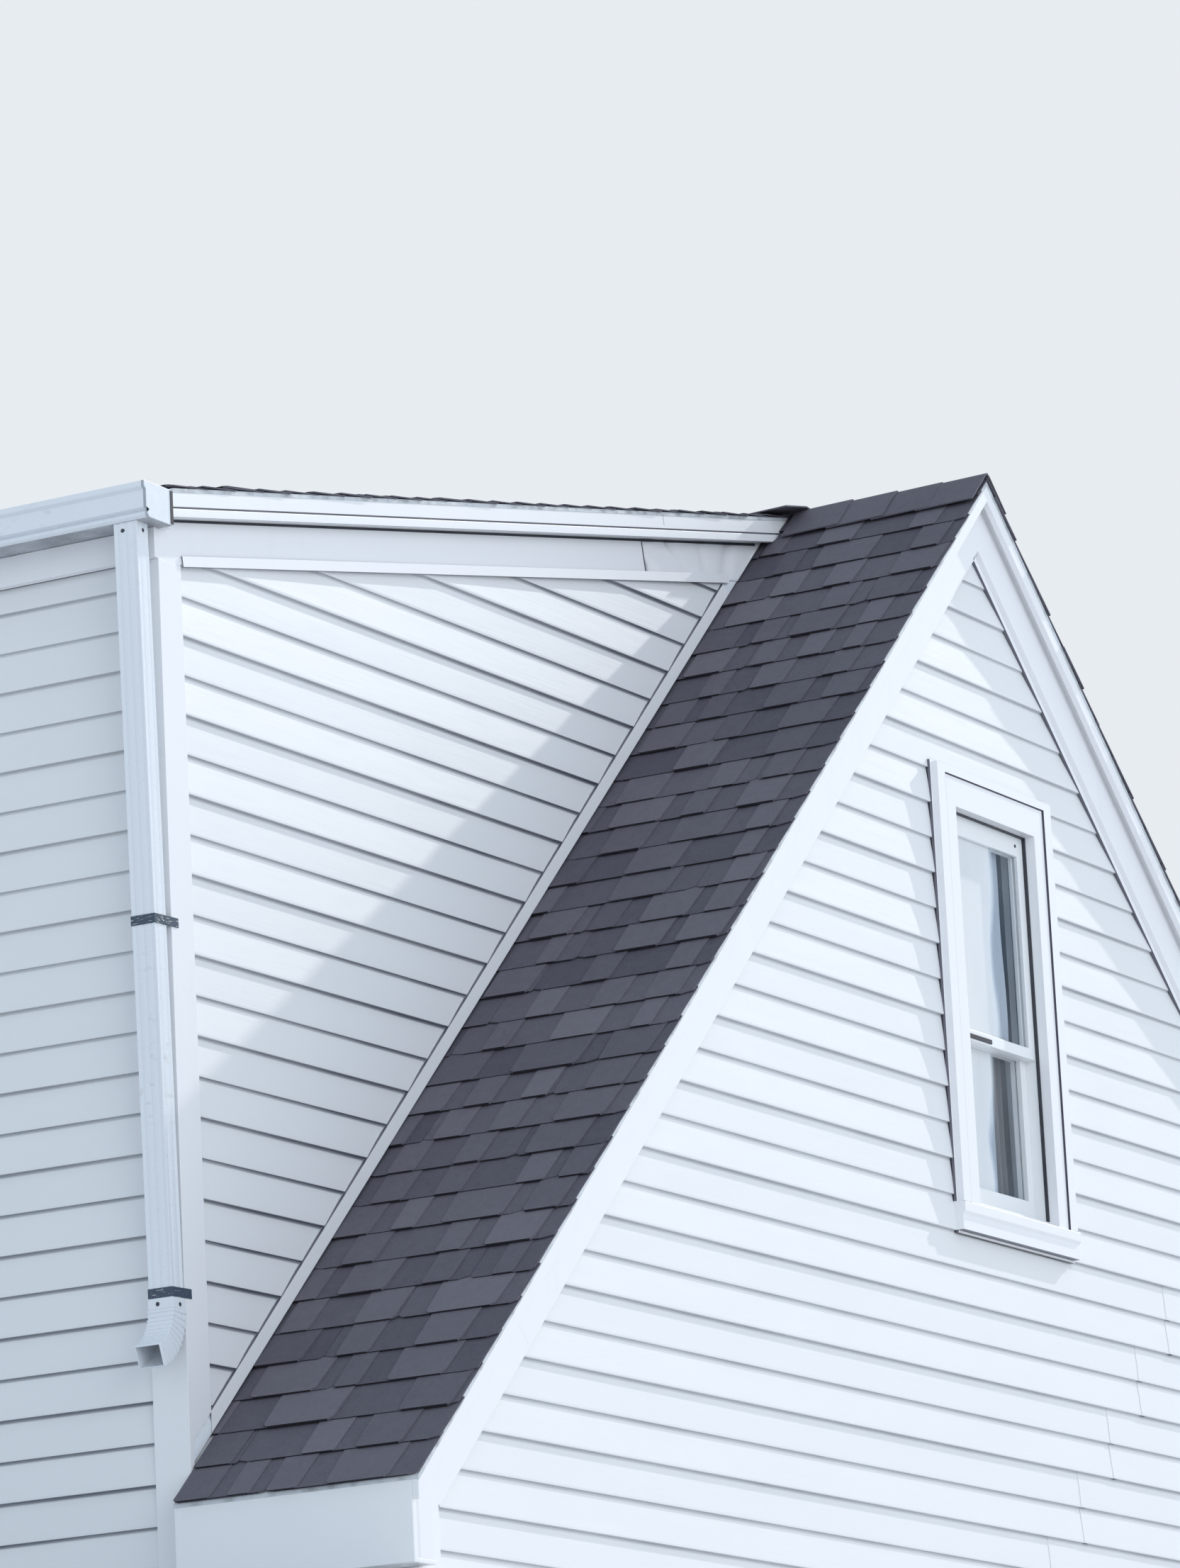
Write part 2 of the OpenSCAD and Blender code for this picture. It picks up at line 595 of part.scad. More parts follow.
// Drip edges under the shingles, over the fascias
drip_x = eave_x + drip_t;
module eave_drip() polygon([[eave_x, roof_z(eave_x, shingle_t)], [drip_x, roof_z(drip_x, shingle_t)],
    [drip_x, roof_z(drip_x, shingle_t) - drip_h], [eave_x, roof_z(drip_x, shingle_t) - drip_h]]);
module drip_edges() color(slate) {
    rake_strip(drip_x) translate([-rake_y - drip_t, -shingle_t - drip_h]) square([drip_t, drip_h]);
    along_y(-rake_y, rake_y) eave_drip();
    both_ends() mirror([1, 0, 0]) along_y(-rake_y, -post_y) eave_drip();
    both_ends() difference() {
        mirror([1, 0, 0]) down_slope(dormer_pitch, 0, front_x)
            translate([-overhang_y - drip_t, -shingle_t - drip_h]) square([drip_t, drip_h]);
        strip_space();
    }
}

// Flashing along the foot of each cheek, with its outer face bevelled to the siding
module cheek_flashings() color([0.72, 0.75, 0.80]) both_ends() mirror([1, 0, 0]) difference() {
    down_slope(roof_pitch, 0, half_w) translate([-dormer_half, 0])
        polygon([[0, 0], [-flashing_t, 0], [-flashing_t, flashing_h / 2],
            [-flashing_top_t, flashing_h], [0, flashing_h]]);
    along_y(-dormer_half - 2 * flashing_t, -dormer_half + cut)
        polygon([[-cut, dormer_z(0, frieze_low)], [far, dormer_z(far, frieze_low)], [far, far], [-cut, far]]);
}

// Gutter: its front has a rounded moulding, a crease, a flat face and a bead with a hem
// folded in.  Points are (out from the fascia, up from the floor).
ogee_steps = 8;
function gutter_ogee(inset) = [for (i = [0 : ogee_steps]) let(s = i / ogee_steps)
    [-gutter_bottom_w - gutter_ogee_d * sin(180 * s) + inset * (1 + 0.4 * s), max(s * gutter_ogee_h, inset)]];
function gutter_face(inset) = [
    [-gutter_w + gutter_bead_d + inset, gutter_ogee_h + gutter_crease_h + 0.6 * inset],
    [-gutter_w + gutter_bead_d + inset, gutter_h - gutter_bead_h - gutter_bead_d],
    [-gutter_w + inset, gutter_h - gutter_bead_h]];
module gutter_outline() polygon(concat([[0, gutter_h], [0, 0]],
    gutter_ogee(0), gutter_face(0), [[-gutter_w, gutter_h]]));
module trough_outline() polygon(concat([[-gutter_t, gutter_h + cut], [-gutter_t, gutter_t]],
    [[-gutter_bottom_w + gutter_t, gutter_t]], [for (p = gutter_ogee(gutter_t)) if (p[1] > gutter_t) p],
    gutter_face(gutter_t),
    [[-gutter_w + gutter_t, gutter_h - gutter_t], [-gutter_w + hem_w, gutter_h - gutter_t],
    [-gutter_w + hem_w, gutter_h + cut]]));
spout_h = gutter_z - spout_foot_z;
spout_angle = atan(spout_lean / spout_h);
spout_foot_x = -post_x - spout_t - pleat_d;
spout_head_x = spout_foot_x - spout_lean;
module gutter() color(shade) difference() {
    along_y(-overhang_y + gutter_t, overhang_y - gutter_t) translate([-front_x, gutter_z]) difference() {
        gutter_outline();
        trough_outline();
    }
    translate([spout_head_x - spout_d + spout_t, -post_y + spout_t, gutter_z - cut])
        cube([spout_d - 2 * spout_t, spout_w - 2 * spout_t, gutter_t + 2 * cut]);
}
module gutter_end_caps() color(shade) both_ends()
    along_y(-overhang_y, -overhang_y + gutter_t) translate([-front_x, gutter_z]) gutter_outline();

// Hangers that tie the hem of the gutter to the fascia
hanger_run = 2 * (overhang_y - spout_w);
hanger_count = ceil(hanger_run / hanger_step) + 1;
module gutter_hangers() color(shade) for (i = [0 : hanger_count - 1])
    let(y = -hanger_run / 2 + i * hanger_run / (hanger_count - 1))
        along_y(y - hanger_w / 2, y + hanger_w / 2)
            translate([-front_x - gutter_w + gutter_t, gutter_z + gutter_h - gutter_t - hanger_t]) {
                square([gutter_w - 2 * gutter_t, hanger_t]);
                translate([gutter_w - 2 * gutter_t - hanger_t, hanger_t - hanger_tab_h])
                    square([hanger_t, hanger_tab_h]);
            }

// Downspout, which leans from the gutter to the foot of the corner post.  Each side has
// flutes: pairs of a place along one flute's width and a depth, both as shares.
flute_shape = [[0.3, 0], [0.4, 1], [0.6, 1], [0.7, 0]];
function fluted(a, b, inward, count) = concat([a], [for (i = [0 : count - 1], s = flute_shape)
    a + (b - a) * (i + s[0]) / count + inward * s[1] * flute_d]);
module spout_outline() polygon(concat(
    fluted([-spout_d, 0], [0, 0], [0, 1], 2), fluted([0, 0], [0, spout_w], [-1, 0], 3),
    fluted([0, spout_w], [-spout_d, spout_w], [0, -1], 2),
    fluted([-spout_d, spout_w], [-spout_d, 0], [1, 0], 3)));
module spout_block(grow) translate([-spout_d - grow, -grow])
    square([spout_d + 2 * grow, spout_w + 2 * grow]);
module at_spout() translate([spout_foot_x, -post_y, spout_foot_z]) rotate([0, -spout_angle, 0]) children();
module downspout() color(white) intersection() {
    at_spout() translate([0, 0, -spout_d]) linear_extrude(spout_h + 2 * spout_d) difference() {
        spout_outline();
        spout_block(-spout_t);
    }
    translate([-far / 2, -far / 2, spout_foot_z]) cube([far, far, spout_h]);
}
// Each strap goes round the downspout and ends in a tab that is nailed to the corner post
module downspout_straps() color([0.2, 0.25, 0.35])
    for (z = [elbow_lap + strap_t, strap_rise]) at_spout() translate([0, 0, z])
        linear_extrude(strap_h) difference() {
            union() {
                spout_block(strap_t);
                translate([0, -strap_t])
                    square([-spout_foot_x - post_x + z * tan(spout_angle) + strap_tab, strap_t]);
            }
            spout_block(0);
        }

// Pleated elbow, turned about an axis along Y that lies out from the wall, with a sleeve
// over the foot of the downspout
module elbow_turned(angle, grow) rotate_extrude(angle = angle)
    translate([elbow_r - grow, -grow]) square([spout_d + 2 * grow, spout_w + 2 * grow]);
pleat_turn = elbow_turn / (2 * pleat_count);
module elbow_bend()
    translate([spout_foot_x, -post_y + spout_w, spout_foot_z]) rotate([90, 0, 0])
    translate([-spout_d - elbow_r, 0, 0]) rotate([0, 0, -elbow_turn]) difference() {
        union() {
            elbow_turned(elbow_turn, spout_t);
            for (i = [0 : pleat_count - 1]) rotate([0, 0, (2 * i + 0.5) * pleat_turn])
                elbow_turned(pleat_turn, spout_t + pleat_d);
        }
        rotate([0, 0, -cut]) elbow_turned(elbow_turn + 2 * cut, 0);
    }
module elbow_sleeve() intersection() {
    at_spout() translate([0, 0, -spout_d]) linear_extrude(elbow_lap + 2 * spout_d) difference() {
        spout_block(spout_t);
        spout_block(0);
    }
    translate([-far / 2, -far / 2, spout_foot_z]) cube([far, far, elbow_lap]);
}
module downspout_elbow() color(white) union() { elbow_bend(); elbow_sleeve(); }

// Windows, drawn with the outside of the framing at y = 0 and the outdoors at -y
module frame_ring(w, h, z, inner_w, inner_h, inner_z) difference() {
    translate([-w / 2, z]) square([w, h]);
    translate([-inner_w / 2, inner_z]) square([inner_w, inner_h]);
}
module window_frames() color(white) at_windows() along_y(0, wall_t)
    frame_ring(unit_w, unit_h, window_z - jamb_t, window_w, window_h, window_z);
module window_casings() color(white) at_windows() along_y(-trim_t, 0) difference() {
    translate([-casing_half, window_z - jamb_t])
        square([2 * casing_half, window_h + casing_w + jamb_t]);
    translate([-window_w / 2, window_z - jamb_t - cut]) square([window_w, window_h + jamb_t + cut]);
}
// The sill's nose slopes outside the casing and stands out over an apron
nose_slope = tan(20);
module window_sills() color(white) at_windows()
    along_x(-casing_half - nose_ear, casing_half + nose_ear) translate([0, nose_z])
        polygon([[0, 0], [0, nose_h], [-trim_t, nose_h],
            [-nose_t, nose_h - (nose_t - trim_t) * nose_slope], [-nose_t, nose_h - nose_lip_h],
            [-nose_t + apron_set, nose_h - nose_lip_h - apron_set], [-nose_t + apron_set, 0]]);

module sash(z0, z1, low, high) {
    inner_w = window_w - 2 * stile_w;
    difference() {
        along_y(0, sash_t) difference() {
            translate([-window_w / 2 + sash_gap, z0]) square([window_w - 2 * sash_gap, z1 - z0]);
            translate([-inner_w / 2, z0 + low]) square([inner_w, z1 - z0 - low - high]);
        }
        translate([0, glass_y, 0]) along_y(0, glass_t) pane(z0, z1, low, high);
    }
}
module pane(z0, z1, low, high) translate([-window_w / 2 + stile_w - groove_d, z0 + low - groove_d])
    square([window_w - 2 * (stile_w - groove_d), z1 - z0 - low - high + 2 * groove_d]);
upper_z = window_z + meeting_z - meeting_h / 2;
lower_z = window_z + meeting_z + meeting_h / 2;
upper_y = sash_inset;
lower_y = sash_inset + sash_t + sash_apart;
module upper_sashes() color(white) at_windows() translate([0, upper_y, 0])
    sash(upper_z, head_z, meeting_h, rail_h);
module lower_sashes() color(white) at_windows() translate([0, lower_y, 0]) {
    sash(window_z, lower_z, rail_h, meeting_h);
    translate([0, sash_t / 2, lower_z]) sash_lock();
}
// Lock with a base, a pivot and a lever, on the meeting rail of the lower sash
lock_h = lock_l / 7;
module sash_lock() {
    translate([-lock_l / 2, -lock_h, 0]) cube([lock_l, 2 * lock_h, lock_h]);
    cylinder(h = 2 * lock_h, r = lock_h);
    translate([0, -lock_h / 2, lock_h]) cube([lock_l / 2, lock_h, lock_h]);
}
glass_y = (sash_t - glass_t) / 2;
module window_glass() color([0.55, 0.66, 0.78, 0.4]) at_windows() {
    translate([0, upper_y + glass_y, 0]) along_y(0, glass_t) pane(upper_z, head_z, meeting_h, rail_h);
    translate([0, lower_y + glass_y, 0]) along_y(0, glass_t) pane(window_z, lower_z, rail_h, meeting_h);
}

eave_walls();
bearing_beam();
floor_joists();
rim_joist();
subfloor();
gable_wall_front();
gable_wall_back();
dormer_front_wall();
dormer_cheek_front();
dormer_cheek_back();
ridge_board();
right_rafters();
strip_rafters();
dormer_rafters();
right_roof_deck();
strip_roof_decks();
dormer_roof_deck();
gable_siding_front();
gable_siding_back();
cheek_siding_front();
cheek_siding_back();
dormer_front_siding();
right_shingles();
strip_shingles();
dormer_shingles();
ridge_cap();
dormer_corner_posts();
house_corner_posts();
cheek_friezes();
cheek_fascias();
dormer_front_frieze();
dormer_front_fascia();
rake_friezes();
rake_fascias();
eave_fascias();
eave_soffits();
cheek_flashings();
gutter();
gutter_end_caps();
downspout();
downspout_elbow();
downspout_straps();
window_frames();
window_casings();
window_sills();
upper_sashes();
lower_sashes();
window_glass();
drip_edges();
gutter_hangers();
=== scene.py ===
import json
import math
import random
from contextlib import contextmanager

import bmesh
import bpy
import numpy as np
from mathutils import Matrix, Vector


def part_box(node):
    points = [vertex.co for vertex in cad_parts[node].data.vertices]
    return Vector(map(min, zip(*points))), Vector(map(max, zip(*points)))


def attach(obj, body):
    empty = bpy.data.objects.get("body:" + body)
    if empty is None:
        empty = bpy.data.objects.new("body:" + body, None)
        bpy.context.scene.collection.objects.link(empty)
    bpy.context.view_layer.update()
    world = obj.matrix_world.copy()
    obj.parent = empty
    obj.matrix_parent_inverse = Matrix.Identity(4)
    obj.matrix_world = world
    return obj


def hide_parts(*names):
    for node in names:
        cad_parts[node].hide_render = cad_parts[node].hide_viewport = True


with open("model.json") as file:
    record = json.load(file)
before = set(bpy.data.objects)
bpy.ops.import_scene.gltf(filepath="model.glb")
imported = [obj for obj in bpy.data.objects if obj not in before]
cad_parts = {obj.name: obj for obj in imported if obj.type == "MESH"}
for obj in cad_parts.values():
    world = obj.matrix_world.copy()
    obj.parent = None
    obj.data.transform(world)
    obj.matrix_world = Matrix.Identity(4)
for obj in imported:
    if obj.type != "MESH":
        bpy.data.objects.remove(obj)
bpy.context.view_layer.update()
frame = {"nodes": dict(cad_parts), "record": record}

bl_info = {
    "name": "Shed Dormer Finishes",
    "version": (1, 0, 0),
    "blender": (4, 5, 0),
    "location": "View3D > Sidebar > Dormer",
    "description": "Siding, shingles, trim, gutter, windows and stage of a shed dormer with a gable end",
    "category": "Object",
}

# Places that the pieces share, read from the frame, in metres.  X runs across the gable,
# Y along the ridge and Z up; the dormer faces -X.
HALF_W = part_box("gable_wall_front")[1].x
GABLE_Y = -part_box("gable_wall_front")[0].y
DORMER_HALF = -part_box("dormer_cheek_front")[0].y
OVERHANG_Y = -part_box("cheek_fascias")[0].y
FRONT_X = -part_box("cheek_fascias")[0].x
POST_X = -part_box("dormer_corner_posts")[0].x
POST_Y = -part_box("dormer_corner_posts")[0].y
SHINGLE_RAKE_Y = -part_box("right_shingles")[0].y
SHINGLE_OVERHANG_Y = -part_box("dormer_shingles")[0].y
GUTTER_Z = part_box("gutter")[0].z
FRIEZE_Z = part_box("dormer_front_frieze")[0].z
CASING_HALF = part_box("window_casings")[1].x
CASING_LOW, CASING_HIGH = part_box("window_casings")[0].z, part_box("window_casings")[1].z
SILL_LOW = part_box("window_sills")[0].z
SPOUT_LOW, SPOUT_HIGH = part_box("downspout")

# Small sizes that several pieces share, in metres
GAP = 0.001  # Room left where siding meets its trim
WINDOW_GAP = 0.007  # Room for the channel round a window
CHANNEL_SHEET = 0.0011  # Thickness of a channel's sheet
CHANNEL_STAND = 0.0175  # How far a channel stands out from the wall
MOULDING = (0.026, 0.0225)  # Face and stand of the wider channels under the friezes
CHEEK_HEAD = 0.34  # Distance from the ridge at which the cheeks' channels start
FRIEZE_LAP = 0.020  # How far the channel under a cheek's frieze laps over the frieze
SPOUT_DEPTH = 0.051  # Depth of the downspout, square to the wall

# The two sides of what is mirrored
SIDES = (-1, 1)


# Sizes and colours that a user may change

def length(name, description, default):
    return bpy.props.FloatProperty(
        name=name, description=description, default=default, min=0.0, unit="LENGTH", precision=4)


def colour(name, description, default):
    return bpy.props.FloatVectorProperty(
        name=name, description=description, default=default, size=3, min=0.0, max=1.0, subtype="COLOR")


def angle(name, description, degrees):
    return bpy.props.FloatProperty(
        name=name, description=description, default=math.radians(degrees), unit="ROTATION")


def number(name, description, default):
    return bpy.props.FloatProperty(name=name, description=description, default=default)


def vector(name, description, default, **settings):
    return bpy.props.FloatVectorProperty(name=name, description=description, default=default, **settings)


class DormerSizes(bpy.types.PropertyGroup):
    roof_pitch: angle("Roof pitch", "Pitch of the main roof", 42.6)
    dormer_pitch: angle("Dormer pitch", "Pitch of the dormer roof", 10.95)
    roofing: length("Roofing", "Thickness of the shingles at their butts", 0.012)
    deck: length("Sheathing", "Thickness of the roof sheathing", 0.016)
    course: length("Siding course", "Exposed height of one course of siding", 0.1016)
    panel_butt: length("Panel butt", "How far the lower edge of a double panel stands out", 0.014)
    fold_butt: length("Fold butt", "How far the fold between two courses stands out", 0.011)
    course_top: length("Course top", "How far the top of a course stands out", 0.004)
    cheek_shift: length("Cheek shift", "How much higher the cheeks' courses lie than the gables'", 0.0085)
    front_shift: length("Front shift", "How much higher the dormer front's courses lie", 0.0185)
    vinyl: length("Vinyl", "Thickness of the siding sheet", 0.0012)
    channel_face: length("Channel face", "Width of a siding channel's face", 0.018)
    foot_channel: length("Foot channel", "Width of the channel's face at the foot of a cheek", 0.038)
    exposure: length("Exposure", "Exposed height of one course of shingles", 0.136)
    ply: length("Ply", "Thickness of one layer of a shingle", 0.003)
    cap_exposure: length("Cap exposure", "Exposed length of one ridge cap shingle", 0.145)
    cap_wing: length("Cap wing", "Width of one wing of the ridge cap", 0.150)
    cheek_frieze: length("Cheek frieze", "Height of the cheek friezes under the sheathing", 0.168)
    rake_frieze: length("Rake frieze", "Height of the rake friezes under the sheathing", 0.132)
    flashing: length("Flashing", "Height of the cheek flashings", 0.040)
    post: length("Corner post", "Width of each leg of a corner post", 0.102)
    window_w: length("Window width", "Clear width of a window between its jambs", 0.508)
    jamb: length("Jamb", "Thickness of the window jambs", 0.019)
    casing: length("Casing", "Width of the casing round a window", 0.112)
    back_band: length("Back band", "Width of the raised outer edge of the casing", 0.046)
    dormer_window: length("Dormer windows", "Distance from the dormer's middle to its windows", 1.1)
    meeting: length("Meeting rail", "Height of the meeting rails above the sill", 0.485)
    curtain_edge: length("Curtain edge", "How far the pale curtains reach past a window's middle", 0.105)


class DormerColours(bpy.types.PropertyGroup):
    siding: colour("Siding", "Vinyl siding", (0.82, 0.825, 0.835))
    trim: colour("Trim", "Wrapped trim boards", (0.86, 0.86, 0.875))
    metal: colour("Metal", "Gutter, downspout and flashings", (0.78, 0.81, 0.85))
    window: colour("Window", "Window frames and sashes", (0.85, 0.86, 0.87))
    # Painted shade on channel edges, grooves, joints and undersides, and dirt at the gutter's ends
    soil: colour("Soil", "Dirt in the joints of the trim and the windows", (0.06, 0.055, 0.085))
    shingle_dark: colour("Dark shingles", "Darkest granules of the shingles", (0.066, 0.064, 0.087))
    shingle_light: colour("Light shingles", "Lightest tabs of the shingles", (0.205, 0.192, 0.224))
    strap: colour("Straps", "Straps round the downspout", (0.045, 0.070, 0.105))
    drip: colour("Drip edges", "Metal edge under the shingles", (0.62, 0.65, 0.68))
    # Also the colour of dark bars that are painted shadow under the fascias and painted shade in the windows'
    # tracks
    seal: colour("Seals", "Weatherstrips, sealant and open joints", (0.035, 0.036, 0.045))
    # Painted sky reflection: the blue of the faint film on the panes
    glass: colour("Glass", "Tint of the glass", (0.50, 0.68, 0.88))
    # Bluish to paint the cool shade on the pale curtains behind the glass
    curtain: colour("Curtains", "Curtains behind the glass", (0.70, 0.78, 0.90))
    # Painted shade: a darker cloth hung where the pale curtain lies in shade
    lining: colour("Lining", "Darker cloth that hangs beside the curtains", (0.30, 0.285, 0.29))
    lumber: colour("Lumber", "Joists, rafters and beams", (0.52, 0.37, 0.22))
    panel: colour("Panels", "Strand board of walls, floor and roof", (0.47, 0.33, 0.19))
    floor: colour("Floor", "Studio floor", (0.72, 0.73, 0.74))
    backdrop: colour("Backdrop", "Background behind the dormer", (0.80, 0.84, 0.88))


class DormerLights(bpy.types.PropertyGroup):
    key: number("Key", "Strength of the key sun", 2.2)
    fill: number("Fill", "Strength of the fill sun", 1.05)
    sky: number("Sky", "Strength of the light all round", 0.78)
    key_tint: colour("Key tint", "Colour of the key sun", (1.0, 0.975, 0.94))
    fill_tint: colour("Fill tint", "Colour of the fill sun", (0.93, 0.96, 1.0))
    sky_tint: colour("Sky tint", "Colour of the light all round", (0.73, 0.86, 1.0))
    key_size: angle("Key size", "Angle that the key sun fills, which softens shadows", 0.7)
    fill_size: angle("Fill size", "Angle that the fill sun fills", 50.0)
    key_travel: vector("Key travel", "Direction in which the key light travels", (-1.0, 0.20, -0.66))
    fill_travel: vector("Fill travel", "Direction in which the fill light travels", (0.45, 1.0, -0.12))
    camera_place: vector("Camera place", "Where the camera stands", (-17.1625, -10.9861, -1.8249),
                         subtype="TRANSLATION", unit="LENGTH")
    camera_turn: vector("Camera turn", "How the camera is turned",
                        tuple(math.radians(a) for a in (103.19487, 2.80385, -60.53164)), subtype="EULER")
    lens: number("Lens", "Focal length of the camera, in mm", 156.16)


def sizes():
    return bpy.context.scene.dormer_sizes


def colours():
    return bpy.context.scene.dormer_colours


def ridge_z():
    s = sizes()
    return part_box("right_roof_deck")[1].z + s.roofing / math.cos(s.roof_pitch)


def roof_z(x, depth=0.0):
    """Height of the main roof at a distance from the ridge, at a depth square to its surface"""
    pitch = sizes().roof_pitch
    return ridge_z() - abs(x) * math.tan(pitch) - depth / math.cos(pitch)


def dormer_z(x, depth=0.0):
    """The same for the dormer roof"""
    pitch = sizes().dormer_pitch
    return ridge_z() - abs(x) * math.tan(pitch) - depth / math.cos(pitch)


def square_to(pitch, turn, sign=1):
    """The direction up from a slope that falls towards turn, or down into it where sign is -1"""
    return (sign * turn * math.sin(pitch), 0, sign * math.cos(pitch))


# Materials

class Nodes:
    """Adds nodes to a shader tree; an input takes a number, a colour or another node's output"""

    def __init__(self, tree):
        self.tree = tree
        tree.nodes.clear()

    def fill(self, socket, value):
        if isinstance(value, Value):
            self.tree.links.new(value.socket, socket)
        elif isinstance(value, (tuple, list)) or hasattr(value, "r"):
            socket.default_value = (*value, 1.0)[:len(socket.default_value)]
        else:
            socket.default_value = value

    def node(self, kind, values=None, output=0, **settings):
        """One output of a new node, whose settings come first and the values or links of its inputs next"""
        made = self.tree.nodes.new(kind)
        for key, value in settings.items():
            setattr(made, key, value)
        for key, value in (values or {}).items():
            self.fill(made.inputs[key], value)
        return Value(self, made.outputs[output])

    def math(self, operation, first, second):
        return self.node("ShaderNodeMath", {0: first, 1: second}, operation=operation)


class Value:
    """One output of a node, which can stand in sums, products and comparisons"""

    def __init__(self, nodes, socket):
        self.nodes = nodes
        self.socket = socket

    def __add__(self, other):
        return self.nodes.math("ADD", self, other)

    def __sub__(self, other):
        return self.nodes.math("SUBTRACT", self, other)

    def __rsub__(self, other):
        return self.nodes.math("SUBTRACT", other, self)

    def __mul__(self, other):
        return self.nodes.math("MULTIPLY", self, other)

    def __mod__(self, other):
        return self.nodes.math("FLOORED_MODULO", self, other)

    def __rmod__(self, other):
        return self.nodes.math("FLOORED_MODULO", other, self)

    def __lt__(self, other):
        return self.nodes.math("LESS_THAN", self, other)

    def __gt__(self, other):
        return self.nodes.math("GREATER_THAN", self, other)

    __radd__ = __add__
    __rmul__ = __mul__


class Finish(Nodes):
    """A procedural material with one Principled surface, whose patterns follow Object coordinates"""

    def __init__(self, name, **settings):
        self.material = bpy.data.materials.new(name)
        self.material.use_nodes = True
        super().__init__(self.material.node_tree)
        self.surface = self.tree.nodes.new("ShaderNodeBsdfPrincipled")
        self.end = self.tree.nodes.new("ShaderNodeOutputMaterial").inputs["Surface"]
        self.tree.links.new(self.surface.outputs[0], self.end)
        self.feed({key.replace("_", " ").title(): value for key, value in settings.items()})

    def feed(self, values):
        for name, value in values.items():
            self.fill(self.surface.inputs["IOR" if name == "Ior" else name], value)
        return self.material

    def place(self, stretch=(1.0, 1.0, 1.0)):
        """Object coordinates, times a factor along each axis"""
        spot = self.node("ShaderNodeTexCoord", output="Object")
        return self.node("ShaderNodeVectorMath", {0: spot, 1: stretch}, operation="MULTIPLY")

    def axis(self, name):
        return self.node("ShaderNodeSeparateXYZ", {0: self.place()}, name)

    def attribute(self, name):
        return self.node("ShaderNodeAttribute", output="Fac", attribute_name=name)

    def noise(self, scale, detail=3.0, stretch=(1.0, 1.0, 1.0), roughness=0.5):
        return self.node("ShaderNodeTexNoise", {
            "Vector": self.place(stretch), "Scale": scale, "Detail": detail, "Roughness": roughness})

    def cells(self, scale, stretch=(1.0, 1.0, 1.0), output="Color"):
        return self.node("ShaderNodeTexVoronoi", {"Vector": self.place(stretch), "Scale": scale}, output)

    def grey(self, value):
        return self.node("ShaderNodeRGBToBW", {0: value})

    def between(self, value, low, high, start=0.0, end=1.0):
        """Start at the low value and below, end at the high one and above, and straight in between"""
        return self.node("ShaderNodeMapRange", {
            "Value": value, "From Min": low, "From Max": high, "To Min": start, "To Max": end})

    def mix(self, factor, first, second):
        return self.node("ShaderNodeMix", {0: factor, 6: first, 7: second}, 2, data_type="RGBA")

    def bump(self, height, distance):
        return self.node("ShaderNodeBump", {"Height": height, "Distance": distance, "Strength": 1.0})


def shade_of(base, factor):
    return tuple(channel * factor for channel in base)


def make_siding():
    """Vinyl with an embossed wood grain along each course and painted shade in the recess under each butt,
    strongest on the cheeks and near the main roof
    """
    finish = Finish("vinyl_siding", roughness=0.42, ior=1.46)
    base = colours().siding
    course = sizes().course
    grain = finish.noise(9.0, 5.0, (0.45, 0.45, 16.0), 0.62)
    wave = finish.noise(2.2, 1.0, (1.0, 1.0, 0.8))
    dust = finish.noise(3.5, 4.0, (0.6, 0.6, 1.6))
    height = (finish.axis("Z") - finish.attribute("shift") + 0.0004) % course
    lee = finish.between(height, 0.72 * course, course)
    # Painted shade: a band just under each butt, and the lowest millimetre of each butt
    recess = finish.between(height, course - 0.0095, course - 0.0045) + (height < 0.0012)
    across = finish.node("ShaderNodeMath", {0: finish.axis("X")}, operation="ABSOLUTE")
    above_roof = finish.axis("Z") + across * math.tan(sizes().roof_pitch) - ridge_z()
    # How strong the painted shade is: most near the main roof, and set per wall, least on the gables
    grime = finish.between(above_roof, 0.25, 1.25, 1.0, 0.42) * finish.attribute("grime")
    soot = finish.between(dust, 0.42, 0.78) * (lee * 0.45 + 0.2)
    pale = finish.mix(grain * 0.3, base, shade_of(base, 0.94))
    dusty = finish.mix(soot * 0.28, pale, (0.56, 0.57, 0.57))
    # The painted shade under the butts, broken up a little by the dust pattern
    dark = recess * grime * finish.between(dust, 0.3, 0.7, 0.7, 1.0)
    return finish.feed({
        # The dark blue-grey is the colour of the painted shade under the butts
        "Base Color": finish.mix(dark, dusty, (0.13, 0.15, 0.19)),
        "Roughness": finish.between(grain, 0.3, 0.7, 0.34, 0.52),
        "Normal": finish.bump(grain * 0.10 + wave, 0.0022),
    })


def make_trim():
    """Aluminium coil wrapped round boards: smooth, faintly buckled, with fine dirt runs, and painted shade on
    the faces marked dark
    """
    finish = Finish("white_trim", roughness=0.36, ior=1.48)
    buckle = finish.noise(3.2, 1.5)
    speck = finish.noise(120.0, 2.0)
    runs = finish.noise(26.0, 3.0, (1.0, 1.0, 0.08))
    worn = finish.between(runs, 0.52, 0.80) * finish.between(finish.noise(1.3, 2.0), 0.45, 0.7)
    clean = finish.mix(worn * 0.10, colours().trim, (0.55, 0.57, 0.58))
    return finish.feed({
        # Painted shade on the marked faces: channel edges, grooves, the casings' raised edges and undersides
        "Base Color": finish.mix(finish.attribute("soil"), clean, colours().soil),
        "Roughness": finish.between(speck, 0.3, 0.7, 0.34, 0.42),
        "Normal": finish.bump(buckle + speck * 0.01, 0.003),
    })


